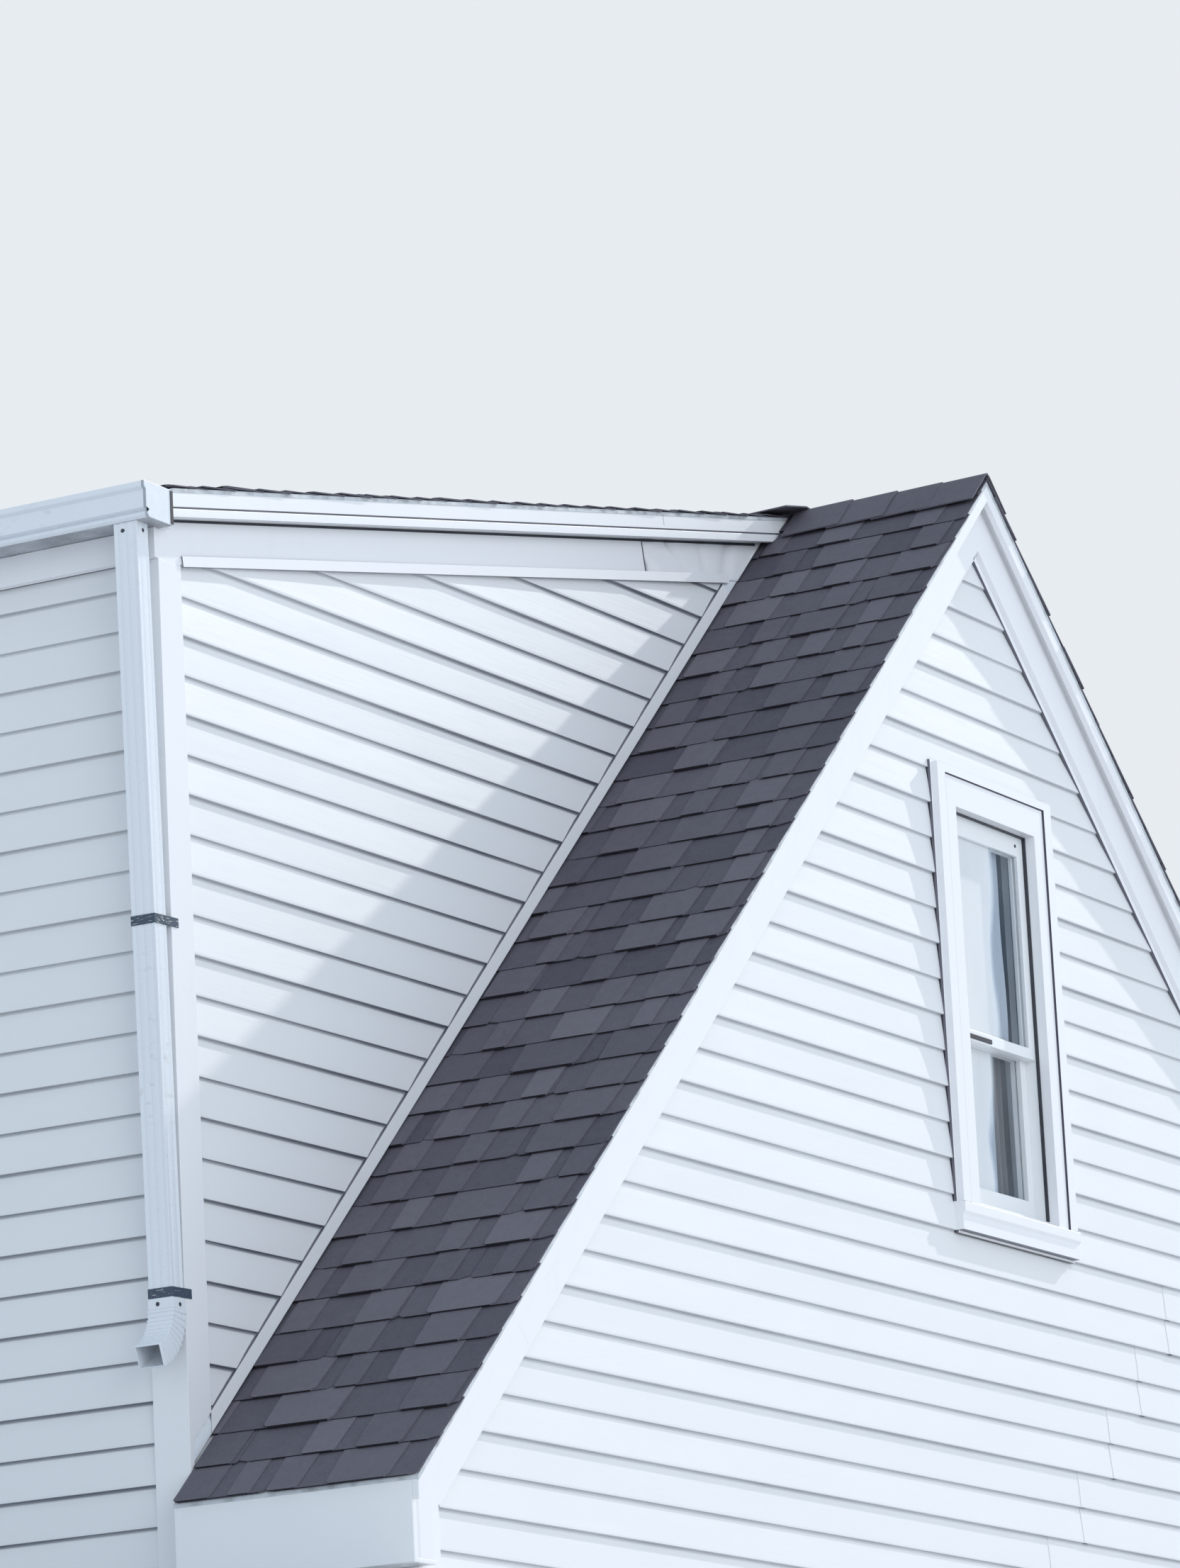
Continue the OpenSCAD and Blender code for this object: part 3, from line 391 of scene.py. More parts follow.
def make_metal():
    """Baked white enamel on thin aluminium, with soft dents and specks of dirt, painted shade with dirt under
    the gutter, and dirt at its ends
    """
    finish = Finish("coated_aluminium", roughness=0.30, ior=1.50, coat_weight=0.15, coat_roughness=0.2)
    specks = finish.between(finish.noise(48.0, 3.0, (0.5, 0.5, 1.0)), 0.60, 0.74)
    dirt = specks * finish.between(finish.noise(2.1, 3.0), 0.48, 0.66) * 0.5
    clean = finish.mix(dirt, colours().metal, (0.47, 0.47, 0.44))
    patches = finish.between(finish.noise(9.0, 4.0), 0.3, 0.6, 0.55, 1.0)
    return finish.feed({
        # Marked faces go dark in blotches: painted shade with dirt under the gutter, and dirt at its ends
        "Base Color": finish.mix(finish.attribute("soil") * patches, clean, (0.10, 0.10, 0.12)),
        "Roughness": finish.between(finish.noise(60.0, 2.0), 0.3, 0.7, 0.24, 0.42),
        "Normal": finish.bump(finish.noise(7.0, 2.0), 0.0022),
    })


def make_window():
    """Smooth white vinyl of the frames and sashes, with painted shade on the frames' undersides"""
    finish = Finish("white_window_vinyl", roughness=0.28, ior=1.47)
    dull = finish.between(finish.noise(5.0, 3.0), 0.5, 0.8)
    clean = finish.mix(dull * 0.10, colours().window, (0.60, 0.60, 0.58))
    return finish.feed({
        # Painted shade on the marked faces, the frames' undersides
        "Base Color": finish.mix(finish.attribute("soil"), clean, colours().soil),
        "Roughness": finish.between(finish.noise(12.0, 1.0), 0.3, 0.7, 0.34, 0.40),
        "Normal": finish.bump(finish.noise(4.0, 0.0), 0.0005),
    })


def make_shingles():
    """Mineral granules: each shingle and tab has its own tone, broken up by grains and weather; the butts are
    near black, partly the bare asphalt edge and partly painted shade
    """
    finish = Finish("asphalt_shingles", roughness=0.92, ior=1.45)
    dark, light = colours().shingle_dark, colours().shingle_light
    tone = finish.attribute("tone")
    grains = finish.grey(finish.cells(420.0))
    blend = finish.noise(30.0, 3.0)
    level = tone * 0.60 + blend * 0.22 + grains * 0.34 + finish.noise(1.7, 4.0) * 0.24 - 0.27
    return finish.feed({
        # Butts, marked with a tone below 0, are near black: the bare asphalt edge, darkened further as
        # painted shade
        "Base Color": finish.mix(tone < 0.0, finish.mix(level, dark, light), shade_of(dark, 0.28)),
        "Roughness": finish.between(grains, 0.2, 0.8, 0.82, 0.97),
        "Normal": finish.bump(grains + blend * 0.6, 0.0012),
    })


def make_drip():
    """Bare metal of the drip edges, dulled in patches"""
    finish = Finish("drip_edge_metal", roughness=0.5, ior=1.5)
    base = colours().drip
    worn = finish.between(finish.noise(22.0, 4.0), 0.45, 0.7)
    return finish.feed({
        "Base Color": finish.mix(worn, base, shade_of(base, 0.6)),
        "Roughness": finish.between(worn, 0.0, 1.0, 0.42, 0.66),
        "Normal": finish.bump(finish.noise(18.0, 2.0), 0.0008),
    })


def make_strap():
    """Dark paint that has worn to bare metal along scratches"""
    finish = Finish("dark_strap", roughness=0.45, ior=1.5)
    scratch = finish.between(finish.noise(55.0, 5.0, (1.0, 1.0, 5.0)), 0.60, 0.68)
    return finish.feed({
        "Base Color": finish.mix(scratch, colours().strap, (0.42, 0.44, 0.46)),
        "Metallic": scratch * 0.8,
        "Roughness": finish.between(scratch, 0.0, 1.0, 0.5, 0.34),
        "Normal": finish.bump(scratch, -0.0003),
    })


def make_dark_seal_and_shadow():
    """Grey-black vinyl of weatherstrip seals and sealant, dusty in places, also used for dark bars that are
    painted shadow under the cheek fascias and painted shade in the windows' tracks
    """
    finish = Finish("dark_seal", roughness=0.6, ior=1.46)
    base = colours().seal
    dusty = finish.between(finish.noise(30.0, 3.0), 0.45, 0.75)
    return finish.feed({
        "Base Color": finish.mix(dusty * 0.5, base, shade_of(base, 2.2)),
        "Roughness": finish.between(dusty, 0.0, 1.0, 0.5, 0.75),
        "Normal": finish.bump(finish.noise(60.0, 2.0), 0.0004),
    })


def make_glass():
    """Clear panes with a faint pale blue film that is painted sky reflection, thick and pale on their left
    side as painted sunlight
    """
    finish = Finish("window_glass", roughness=0.03, ior=1.52)
    film = finish.noise(2.6, 3.0, (1.0, 1.0, 0.7))
    streaks = finish.noise(7.0, 3.0, (1.0, 1.0, 0.25))
    edge = finish.attribute("across") + (finish.noise(3.4, 1.0) - 0.5) * 0.42
    # Painted sunlight: a pale, nearly opaque band over the left part of each pane, where the sun falls
    dusty = finish.between(edge, 0.56, 0.63, 1.0, 0.0)
    # The blue tint and its paler patches are painted sky reflection
    tint = finish.mix(finish.between(film, 0.35, 0.65), colours().glass, (0.74, 0.85, 0.96))
    return finish.feed({
        "Base Color": finish.mix(dusty, tint, (0.92, 0.94, 0.96)),
        "Alpha": finish.between(film * 0.5 + streaks * 0.5, 0.35, 0.65, 0.02, 0.12) + dusty * 0.62,
        "Roughness": finish.between(dusty, 0.0, 1.0, 0.03, 0.45),
    })


def make_cloth(name, base):
    """Plain weave, as threads that cross along the cloth's own map"""
    finish = Finish(name, roughness=0.9, sheen_weight=0.25)
    spot = finish.node("ShaderNodeUVMap", uv_map="UVMap")
    warp, weft = (
        finish.grey(finish.node("ShaderNodeTexWave", {"Vector": spot, "Scale": 260.0}, bands_direction=way))
        for way in "XY")
    weave = warp + weft
    return finish.feed({
        "Base Color": finish.mix(weave * 0.5, shade_of(base, 0.93), base),
        "Normal": finish.bump(weave, 0.0004),
    })


def make_curtain():
    return make_cloth("curtain_cloth", colours().curtain)


# A darker cloth that is painted shade on the curtains
def make_painted_shade_cloth():
    return make_cloth("lining_cloth", colours().lining)


def make_lumber():
    """Softwood with growth rings drawn out along the length, and darker knots"""
    finish = Finish("framing_lumber", roughness=0.7, ior=1.45)
    base = colours().lumber
    rings = finish.noise(30.0, 4.0, (0.16, 0.05, 1.0)) + finish.noise(1.1, 2.0) * 0.2
    knot = finish.between(finish.cells(3.0, (0.6, 0.6, 3.0), "Distance"), 0.03, 0.09, 1.0, 0.0)
    wood = finish.mix(finish.between(rings, 0.42, 0.75), base, shade_of(base, 0.62))
    return finish.feed({
        "Base Color": finish.mix(knot * 0.8, wood, shade_of(base, 0.30)),
        "Roughness": finish.between(rings, 0.4, 0.7, 0.60, 0.80),
        "Normal": finish.bump(rings, 0.0008),
    })


def make_panel():
    """Strand board: flat flakes in many tones that lie this way and that"""
    finish = Finish("sheathing_panel", roughness=0.75, ior=1.45)
    base = colours().panel
    first = finish.grey(finish.cells(16.0, (1.0, 3.2, 1.6)))
    second = finish.grey(finish.cells(19.0, (3.0, 1.0, 2.3)))
    flakes = first * 0.6 + second * 0.4
    dark = finish.mix(finish.between(flakes, 0.25, 0.75), shade_of(base, 0.55), base)
    return finish.feed({
        "Base Color": finish.mix(finish.between(second, 0.62, 0.9), dark, shade_of(base, 1.35)),
        "Roughness": finish.between(flakes, 0.2, 0.8, 0.62, 0.85),
        "Normal": finish.bump(flakes, 0.0012),
    })


MAKERS = {
    "vinyl_siding": make_siding,
    "white_trim": make_trim,
    "coated_aluminium": make_metal,
    "white_window_vinyl": make_window,
    "asphalt_shingles": make_shingles,
    "drip_edge_metal": make_drip,
    "dark_strap": make_strap,
    "dark_seal": make_dark_seal_and_shadow,
    "window_glass": make_glass,
    "curtain": make_curtain,
    "lining": make_painted_shade_cloth,
    "framing_lumber": make_lumber,
    "sheathing_panel": make_panel,
}
finishes = {}


def finish_of(name):
    if name not in finishes:
        finishes[name] = MAKERS[name]()
    return finishes[name]


# Modelling helpers

def take(piece):
    """Selects one piece alone and makes it the active one"""
    bpy.ops.object.select_all(action="DESELECT")
    piece.select_set(True)
    bpy.context.view_layer.objects.active = piece


def added(primitive, name, **settings):
    """Adds a mesh primitive, given by its operator, and names it; it is selected alone"""
    bpy.ops.object.select_all(action="DESELECT")
    primitive(**settings)
    piece = bpy.context.object
    piece.name = name
    return piece


@contextmanager
def editing(piece, kind="FACE"):
    """Edit mode, with everything selected at its start"""
    take(piece)
    bpy.ops.object.mode_set(mode="EDIT")
    bpy.ops.mesh.select_mode(type=kind)
    bpy.ops.mesh.select_all(action="SELECT")
    yield
    bpy.ops.object.mode_set(mode="OBJECT")


def pick(piece, kind, test):
    """In edit mode, selects the verts, edges or faces that pass a test, and nothing else"""
    bpy.ops.mesh.select_all(action="DESELECT")
    mesh = bmesh.from_edit_mesh(piece.data)
    found = [part for part in getattr(mesh, kind) if test(part)]
    for part in found:
        part.select_set(True)
    mesh.select_flush_mode()
    bmesh.update_edit_mesh(piece.data)
    return len(found)


def apply_modifier(piece, kind, **settings):
    take(piece)
    modifier = piece.modifiers.new(kind.title(), kind)
    for key, value in settings.items():
        setattr(modifier, key, value)
    bpy.ops.object.modifier_apply(modifier=modifier.name)


def face_outwards(piece):
    with editing(piece):
        bpy.ops.mesh.normals_make_consistent(inside=False)


def copy_mesh(piece, name, matrix):
    """A copy with a mesh of its own, moved by a matrix"""
    made = bpy.data.objects.new(name, piece.data.copy())
    bpy.context.scene.collection.objects.link(made)
    made.data.transform(matrix)
    return made


def joined(pieces, name):
    take(pieces[0])
    for piece in pieces:
        piece.select_set(True)
    if len(pieces) > 1:
        bpy.ops.object.join()
    pieces[0].name = name
    return pieces[0]


def remove(*pieces):
    for piece in pieces:
        bpy.data.objects.remove(piece)


def wear(piece, material):
    piece.data.materials.clear()
    piece.data.materials.append(finish_of(material))


def hand_in(piece, material, *nodes, slot=None, smooth=35.0):
    """Gives a piece its material and its body, and hides the CAD nodes that it stands for.  The
    slot argument is not used."""
    wear(piece, material)
    take(piece)
    bpy.ops.object.shade_smooth_by_angle(angle=math.radians(smooth))
    if piece.name.endswith("_dressed"):
        apply_modifier(piece, "WEIGHTED_NORMAL", keep_sharp=True)
    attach(piece, "root")
    slot = slot or material
    if nodes:
        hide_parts(*nodes)


def folded_sheet(name, outline, run=1.0):
    """A sheet along X, folded to an outline of (outward, up) points, where outward is -Y.  Its first
    strip is the plane itself, and the others are extruded from the plane's far edge."""
    piece = added(bpy.ops.mesh.primitive_plane_add, name, size=1)
    for vertex in piece.data.vertices:
        out, up = outline[0] if vertex.co.y < 0 else outline[1]
        vertex.co = ((vertex.co.x + 0.5) * run, -out, up)
    start = Vector((0.0, -outline[1][0], outline[1][1]))
    with editing(piece, "EDGE"):
        pick(piece, "edges", lambda edge: all(
            abs(v.co.y - start.y) < 1e-7 and abs(v.co.z - start.z) < 1e-7 for v in edge.verts))
        for (out0, up0), (out1, up1) in zip(outline[1:], outline[2:]):
            bpy.ops.mesh.extrude_region_move(TRANSFORM_OT_translate={"value": (0.0, out0 - out1, up1 - up0)})
    return piece


def thicken(piece, thickness, offset=0.0):
    apply_modifier(piece, "SOLIDIFY", thickness=thickness, offset=offset)
    face_outwards(piece)


def cut(piece, point, normal, clear=False):
    """Adds edges where a plane crosses a piece, and may clear the side the normal points to"""
    with editing(piece):
        bpy.ops.mesh.bisect(plane_co=point, plane_no=normal, clear_outer=clear)


def trim_away(piece, point, normal):
    """Cuts a piece with a plane and clears what lies on the side the normal points to"""
    cut(piece, point, normal, True)


def dressed(node, width, segments=2):
    """A copy of a CAD piece with its edges rounded over"""
    piece = copy_mesh(frame["nodes"][node], node + "_dressed", Matrix())
    with editing(piece, "VERT"):
        bpy.ops.mesh.remove_doubles(threshold=1e-5)
        bpy.ops.mesh.dissolve_limited(angle_limit=math.radians(0.5))
        bpy.ops.mesh.select_all(action="SELECT")
        bpy.ops.mesh.normals_make_consistent(inside=False)
    if width:
        apply_modifier(piece, "BEVEL", width=width, segments=segments, limit_method="ANGLE",
                       angle_limit=math.radians(30.0))
    return piece


def bar(x, y, z):
    """A box with its edges rounded over, between two values of each of X, Y and Z"""
    low, high = (Vector(corner) for corner in zip(*map(sorted, (x, y, z))))
    piece = added(bpy.ops.mesh.primitive_cube_add, "bar", size=1)
    piece.data.transform(Matrix.Translation((low + high) / 2) @ Matrix.Diagonal((*(high - low), 1.0)))
    apply_modifier(piece, "BEVEL", width=min(high - low) * 0.2, segments=1)
    return piece


def mark(piece, name, value, test=lambda face: True):
    """Gives the faces that pass a test a value of an attribute that the material reads, and the rest 0"""
    layer = piece.data.attributes.get(name) or piece.data.attributes.new(name, "FLOAT", "FACE")
    layer.data.foreach_set("value", [value if test(face) else 0.0 for face in piece.data.polygons])


def mark_dirt_and_shade(piece, level, test):
    """Marks the faces that dirt and shadow keep dark"""
    mark(piece, "soil", level, test)


def groove(piece, point, normal, outward, width=0.0016, depth=0.0012):
    """Cuts a V groove across the faces that look outward"""
    point, normal, outward = Vector(point), Vector(normal).normalized(), Vector(outward)
    for shift in (-width / 2, 0.0, width / 2):
        cut(piece, point + normal * shift, normal)
    piece.data.update()
    facing = {v for face in piece.data.polygons if face.normal.dot(outward) > 0.9 for v in face.vertices}
    for index in facing:
        vertex = piece.data.vertices[index]
        if abs((vertex.co - point).dot(normal)) < 1e-5:
            vertex.co -= outward * depth


# Walls are modelled in a frame of their own: X to the right as seen from outside, -Y outward.
WALLS = {
    "gable_front": (0.0, GABLE_Y),
    "gable_back": (math.pi, GABLE_Y),
    "cheek_front": (0.0, DORMER_HALF),
    "cheek_back": (math.pi, DORMER_HALF),
    "dormer_front": (-math.pi / 2, HALF_W),
}


def wall_matrix(wall):
    turn, distance = WALLS[wall]
    return Matrix.Rotation(turn, 4, "Z") @ Matrix.Translation((0.0, -distance, 0.0))


def window_matrices():
    """Where the four windows stand, drawn with the outside of the framing at Y = 0"""
    side, shift = wall_matrix("dormer_front"), sizes().dormer_window
    return [wall_matrix("gable_front"), wall_matrix("gable_back"),
            *(side @ Matrix.Translation((turn * shift, 0, 0)) for turn in SIDES)]


# Siding

def double_panel():
    """One panel a metre long: two courses, a curled lower edge and a folded one between"""
    s = sizes()
    bow = 0.0007

    def course(low, butt, high):
        """(Outward, up) points of a rolled lower edge, and of the middle of the face above it"""
        middle = (butt + s.course_top) / 2 + bow
        return [(s.course_top, low), (butt - 0.0022, low), (butt - 0.0006, low + 0.0007),
                (butt, low + 0.0030), (butt + (middle - butt) * 0.12, low + 0.0085),
                (middle, (low + high) / 2)]

    return folded_sheet("siding_panel", [
        (s.course_top + 0.001, 0.006),
        *course(0.0, s.panel_butt, s.course),
        *course(s.course, s.fold_butt, 2 * s.course),
        (s.course_top - 0.001, 2 * s.course + 0.008),
    ])


def laid_siding(name, base, top, left, right, lap=lambda row: None):
    """Rows of panels; lap gives the place of the joint in a row, or None where one length does"""
    master = double_panel()
    height, over, lift = 2 * sizes().course, 0.03, 0.0014
    made = []
    for row in range(math.floor(-base / height), math.ceil((top - base) / height)):
        joint = lap(row)
        spans = [(left, right, 0.0)]
        if joint is not None:
            spans = [(left, joint + over, 0.0), (joint, right, lift)]
        for start, end, out in spans:
            place = Matrix.Translation((start, -out, base + row * height))
            made.append(copy_mesh(master, name, place @ Matrix.Diagonal((end - start, 1.0, 1.0, 1.0))))
    remove(master)
    return joined(made, name)


def window_hole(piece, middle=0.0):
    """Cuts out the rectangle that a window and the channel round it take"""
    side = CASING_HALF + WINDOW_GAP
    left, right, low, high = middle - side, middle + side, SILL_LOW - WINDOW_GAP, CASING_HIGH + WINDOW_GAP
    for x in (left, right):
        cut(piece, (x, 0, 0), (1, 0, 0))
    for z in (low, high):
        cut(piece, (0, 0, z), (0, 0, 1))
    with editing(piece):
        pick(piece, "faces", lambda face: (
            left < face.calc_center_median().x < right and low < face.calc_center_median().z < high))
        bpy.ops.mesh.delete(type="FACE")


def hang_siding(piece, wall, node, shift, grime):
    """Gives the courses their thickness and puts them on their wall"""
    thicken(piece, sizes().vinyl, -1.0)
    mark(piece, "shift", shift)
    # Marks how strong the painted shade under the butts is on this wall
    mark(piece, "grime", grime)
    piece.data.transform(wall_matrix(wall))
    hand_in(piece, "vinyl_siding", node, smooth=25.0)


def siding_side():
    """Where the siding of the gables and the cheeks ends, beside the corner posts"""
    return POST_X - sizes().post - GAP


def rake_edge():
    """Depth of the lower edge of a rake frieze under the roof surface, square to it"""
    s = sizes()
    return s.roofing + s.deck + s.rake_frieze + GAP


def cheek_edge(lap):
    """The same for a cheek frieze and the dormer's roof, less a lap over its lower edge"""
    s = sizes()
    return s.roofing + s.deck + s.cheek_frieze - lap


def gable_siding(wall, node):
    side, peak = siding_side(), roof_z(0, rake_edge())

    def lap(row):
        """Joints that step to the right row by row, until a row is short enough for one length"""
        return -0.125 + 0.2245 * row if row < 9 else None

    piece = laid_siding(node + "_courses", 0.0, peak, -side, side, lap)
    window_hole(piece)
    for turn in SIDES:
        trim_away(piece, (0, 0, peak), square_to(sizes().roof_pitch, turn))
    hang_siding(piece, wall, node, 0.0, 0.40)


def cheek_siding(wall, node, turn):
    """Turn is -1 on the cheek whose low end is at its left, and 1 on the other"""
    s = sizes()
    left, right = sorted((0.0, turn * siding_side()))
    piece = laid_siding(node + "_courses", s.cheek_shift, ridge_z(), left, right)
    trim_away(piece, (0, 0, dormer_z(0, cheek_edge(0.004))), square_to(s.dormer_pitch, turn))
    trim_away(piece, (0, 0, roof_z(0, -s.flashing + 0.002)), square_to(s.roof_pitch, turn, -1))
    hang_siding(piece, wall, node, s.cheek_shift, 0.95)


def front_siding(wall, node):
    s = sizes()
    side = POST_Y - s.post - GAP
    piece = laid_siding(node + "_courses", s.front_shift - s.course, FRIEZE_Z, -side, side,
                        lambda row: -0.75 + 0.5 * (row % 4))
    trim_away(piece, (0, 0, 0), (0, 0, -1))
    trim_away(piece, (0, 0, FRIEZE_Z - GAP), (0, 0, 1))
    for turn in SIDES:
        window_hole(piece, turn * s.dormer_window)
    hang_siding(piece, wall, node, s.front_shift, 0.85)


class DORMER_OT_siding(bpy.types.Operator):
    """Clads the gables, the cheeks and the dormer's front with double panels of lap siding"""
    bl_idname = "dormer.siding"
    bl_label = "Siding"

    def execute(self, context):
        gable_siding("gable_front", "gable_siding_front")
        gable_siding("gable_back", "gable_siding_back")
        cheek_siding("cheek_front", "cheek_siding_front", -1)
        cheek_siding("cheek_back", "cheek_siding_back", 1)
        front_siding("dormer_front", "dormer_front_siding")
        return {"FINISHED"}


# Channels that hide the ends of the siding

def channel_outline(face, stand, gap=0.0005):
    """(Outward, across) points of a J channel; across runs from the trim over the siding"""
    return [(stand - 0.008, face + gap), (stand, face + gap), (stand, gap), (0.001, gap)]


def edge_on(face):
    """Whether a face stands square to its wall"""
    return abs(face.normal.y) < 0.5


def channel_run(start, end, across, face, stand=CHANNEL_STAND):
    """A channel between two points of a wall's plane, with its face towards across"""
    start, end = Vector((start[0], 0, start[1])), Vector((end[0], 0, end[1]))
    along = end - start
    piece = folded_sheet("channel", channel_outline(face, stand), along.length)
    axes = Matrix((along.normalized(), (0, 1, 0), Vector(across).normalized()))
    piece.data.transform(Matrix.Translation(start) @ axes.transposed().to_4x4())
    thicken(piece, CHANNEL_SHEET)
    # Painted shade on the channel's edges and returns
    mark_dirt_and_shade(piece, 0.92, edge_on)
    return piece


def channel_ring(low, high, outline, rise=1.0):
    """A folded strip that runs round a casing, mitred at its corners; rise widens or narrows its top"""
    piece = added(bpy.ops.mesh.primitive_plane_add, "ring", size=1)
    middle = Vector((0, 0, (low + high) / 2))

    def corner(x, y, point):
        out, across = point
        return (math.copysign(CASING_HALF + across, x), -out,
                middle.z + math.copysign((high - low) / 2 + across * rise, y))

    for vertex in piece.data.vertices:
        vertex.co = corner(vertex.co.x, vertex.co.y, outline[0])
    with editing(piece):
        bpy.ops.mesh.delete(type="ONLY_FACE")
        bpy.ops.mesh.select_mode(type="EDGE")
        bpy.ops.mesh.select_all(action="SELECT")
        for point in outline[1:]:
            bpy.ops.mesh.extrude_region_move()
            mesh = bmesh.from_edit_mesh(piece.data)
            for vertex in mesh.verts:
                if vertex.select:
                    vertex.co = corner(vertex.co.x, vertex.co.z - middle.z, point)
            bmesh.update_edit_mesh(piece.data)
    thicken(piece, CHANNEL_SHEET)
    # Painted shade on the ring's edges and returns
    mark_dirt_and_shade(piece, 0.9, edge_on)
    return piece


def back_band():
    """The raised outer edge of a casing, dark along its inner side: partly the joint there, partly painted
    shadow of the raised edge
    """
    width, stand = sizes().back_band, -GABLE_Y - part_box("window_casings")[0].y
    lip, top, edge = stand + 0.0005, stand + 0.0036, 0.0008
    piece = channel_ring(CASING_LOW - 0.2, CASING_HIGH, [
        (lip, -width - 0.007), (lip, -width), (top, -width), (top, edge), (0.0185, edge)], 0.5)
    trim_away(piece, (0, 0, CASING_LOW), (0, 0, -1))

    def inner(face):
        x, z = abs(face.center.x), face.center.z
        joint = x < CASING_HALF - width and z < CASING_HIGH - width / 2
        return x < CASING_HALF - width / 2 and z < CASING_HIGH - width / 4 and (edge_on(face) or joint)

    # Painted shadow of the raised edge, over the joint along its inner side
    mark_dirt_and_shade(piece, 0.97, inner)
    return piece


def slope_channel(height, depth, turn, head, foot, across, *size):
    """A channel along a slope, between two distances from the ridge at a depth under its surface"""
    top, low = ((turn * x, height(x, depth)) for x in (head, foot))
    return channel_run(top, low, across, *size)


def rake_channels():
    """The channels under the rake friezes, which meet at the peak"""
    s = sizes()
    reach = siding_side()
    made = []
    for turn in SIDES:
        piece = slope_channel(roof_z, rake_edge() - GAP, turn, 0.012, reach + 0.03,
                              square_to(s.roof_pitch, turn, -1), s.channel_face)
        trim_away(piece, (turn * reach, 0, 0), (turn, 0, 0))
        made.append(piece)
    return made


def foot_channel(turn):
    """The channel that the courses of a cheek stand in, along the main roof"""
    s = sizes()
    reach = siding_side()
    piece = slope_channel(roof_z, -0.003, turn, CHEEK_HEAD, reach + 0.06,
                          square_to(s.roof_pitch, turn), s.foot_channel)
    trim_away(piece, (turn * (reach + 0.002), 0, 0), (turn, 0, 0))
    return piece


def frieze_channel(turn):
    """The wide channel under a cheek frieze, which the sun catches"""
    return slope_channel(dormer_z, cheek_edge(FRIEZE_LAP), turn, CHEEK_HEAD, siding_side(),
                         square_to(sizes().dormer_pitch, turn, -1), *MOULDING)


def hang_trim(pieces, name, wall):
    piece = joined(pieces, name)
    piece.data.transform(wall_matrix(wall))
    hand_in(piece, "white_trim")


class DORMER_OT_channels(bpy.types.Operator):
    """Adds the channels that the siding ends in, under the rakes, on the roof and round the windows"""
    bl_idname = "dormer.channels"
    bl_label = "Siding channels"

    def execute(self, context):
        for wall in ("gable_front", "gable_back"):
            hang_trim(rake_channels(), wall + "_rake_channels", wall)
        for wall, turn in (("cheek_front", -1), ("cheek_back", 1)):
            hang_trim([foot_channel(turn), frieze_channel(turn)], wall + "_channels", wall)
        rings = []
        narrow = channel_outline(0.006, 0.0178, 0.001)[::-1]
        for place in window_matrices():
            for ring in (channel_ring(SILL_LOW, CASING_HIGH, narrow), back_band()):
                ring.data.transform(place)
                rings.append(ring)
        hand_in(joined(rings, "window_channels"), "white_trim")
        reach, lap = POST_Y - sizes().post, 0.024
        moulding = channel_run((-reach, FRIEZE_Z + lap), (reach, FRIEZE_Z + lap), (0, 0, -1), *MOULDING)
        hang_trim([moulding], "front_moulding", "dormer_front")
        return {"FINISHED"}


# Roofing

def shingle_block(name, taper):
    """A unit block: X along the course, Y down the slope, Z through the shingle"""
    piece = added(bpy.ops.mesh.primitive_cube_add, name, size=1, location=(0.5, 0.5, 0.5))
    bpy.ops.object.transform_apply(location=True, rotation=False, scale=False)
    with editing(piece, "EDGE"):
        pick(piece, "edges", lambda edge: all(v.co.y > 0.9 for v in edge.verts)
             and abs(edge.verts[0].co.z - edge.verts[1].co.z) > 0.5)
        bpy.ops.mesh.bevel(offset=0.06, segments=1)
    for vertex in piece.data.vertices:
        if vertex.co.y > 0.9:
            vertex.co.x += taper * (0.5 - vertex.co.x)
    return piece


class Slope:
    """A roof slope: u runs along the ridge, v down the slope and w square to it"""

    def __init__(self, side, pitch):
        self.down = Vector((side * math.cos(pitch), 0, -math.sin(pitch)))
        self.out = Vector(square_to(pitch, side))
        self.top = Vector((0, 0, ridge_z()))

    def place(self, points):
        """World points of rows of (u, v, w)"""
        return points @ np.array([[0.0, 1.0, 0.0], self.down, self.out]) + np.array(self.top)


def laid_blocks(name, block, rows, slope):
    """Repeats a unit block: each row gives u0, u1, v0, v1, the heights of its upper face at
    v0 and v1, its thickness and its tone.  A tone of -1 marks the butts, which the material paints
    near black: the bare asphalt edge, darkened further as painted shade."""
    unit = np.array([v.co for v in block.data.vertices])
    faces = [list(p.vertices) for p in block.data.polygons]
    u0, u1, v0, v1, w0, w1, thick, tone = (np.array(rows)[:, i:i + 1] for i in range(8))
    a, b, c = unit.T
    points = np.stack([u0 + (u1 - u0) * a, v0 + (v1 - v0) * b, w0 + (w1 - w0) * b - thick * (1 - c)], axis=-1)
    mesh = bpy.data.meshes.new(name)
    mesh.from_pydata(slope.place(points.reshape(-1, 3)).tolist(), [], [
        [i * len(unit) + v for v in face] for i in range(len(rows)) for face in faces])
    butts = [all(unit[v][1] > 0.99 for v in face) for face in faces]
    layer = mesh.attributes.new("tone", "FLOAT", "FACE")
    layer.data.foreach_set("value", np.where(butts, -1.0, tone).ravel())
    piece = bpy.data.objects.new(name, mesh)
    bpy.context.scene.collection.objects.link(piece)
    face_outwards(piece)
    return piece


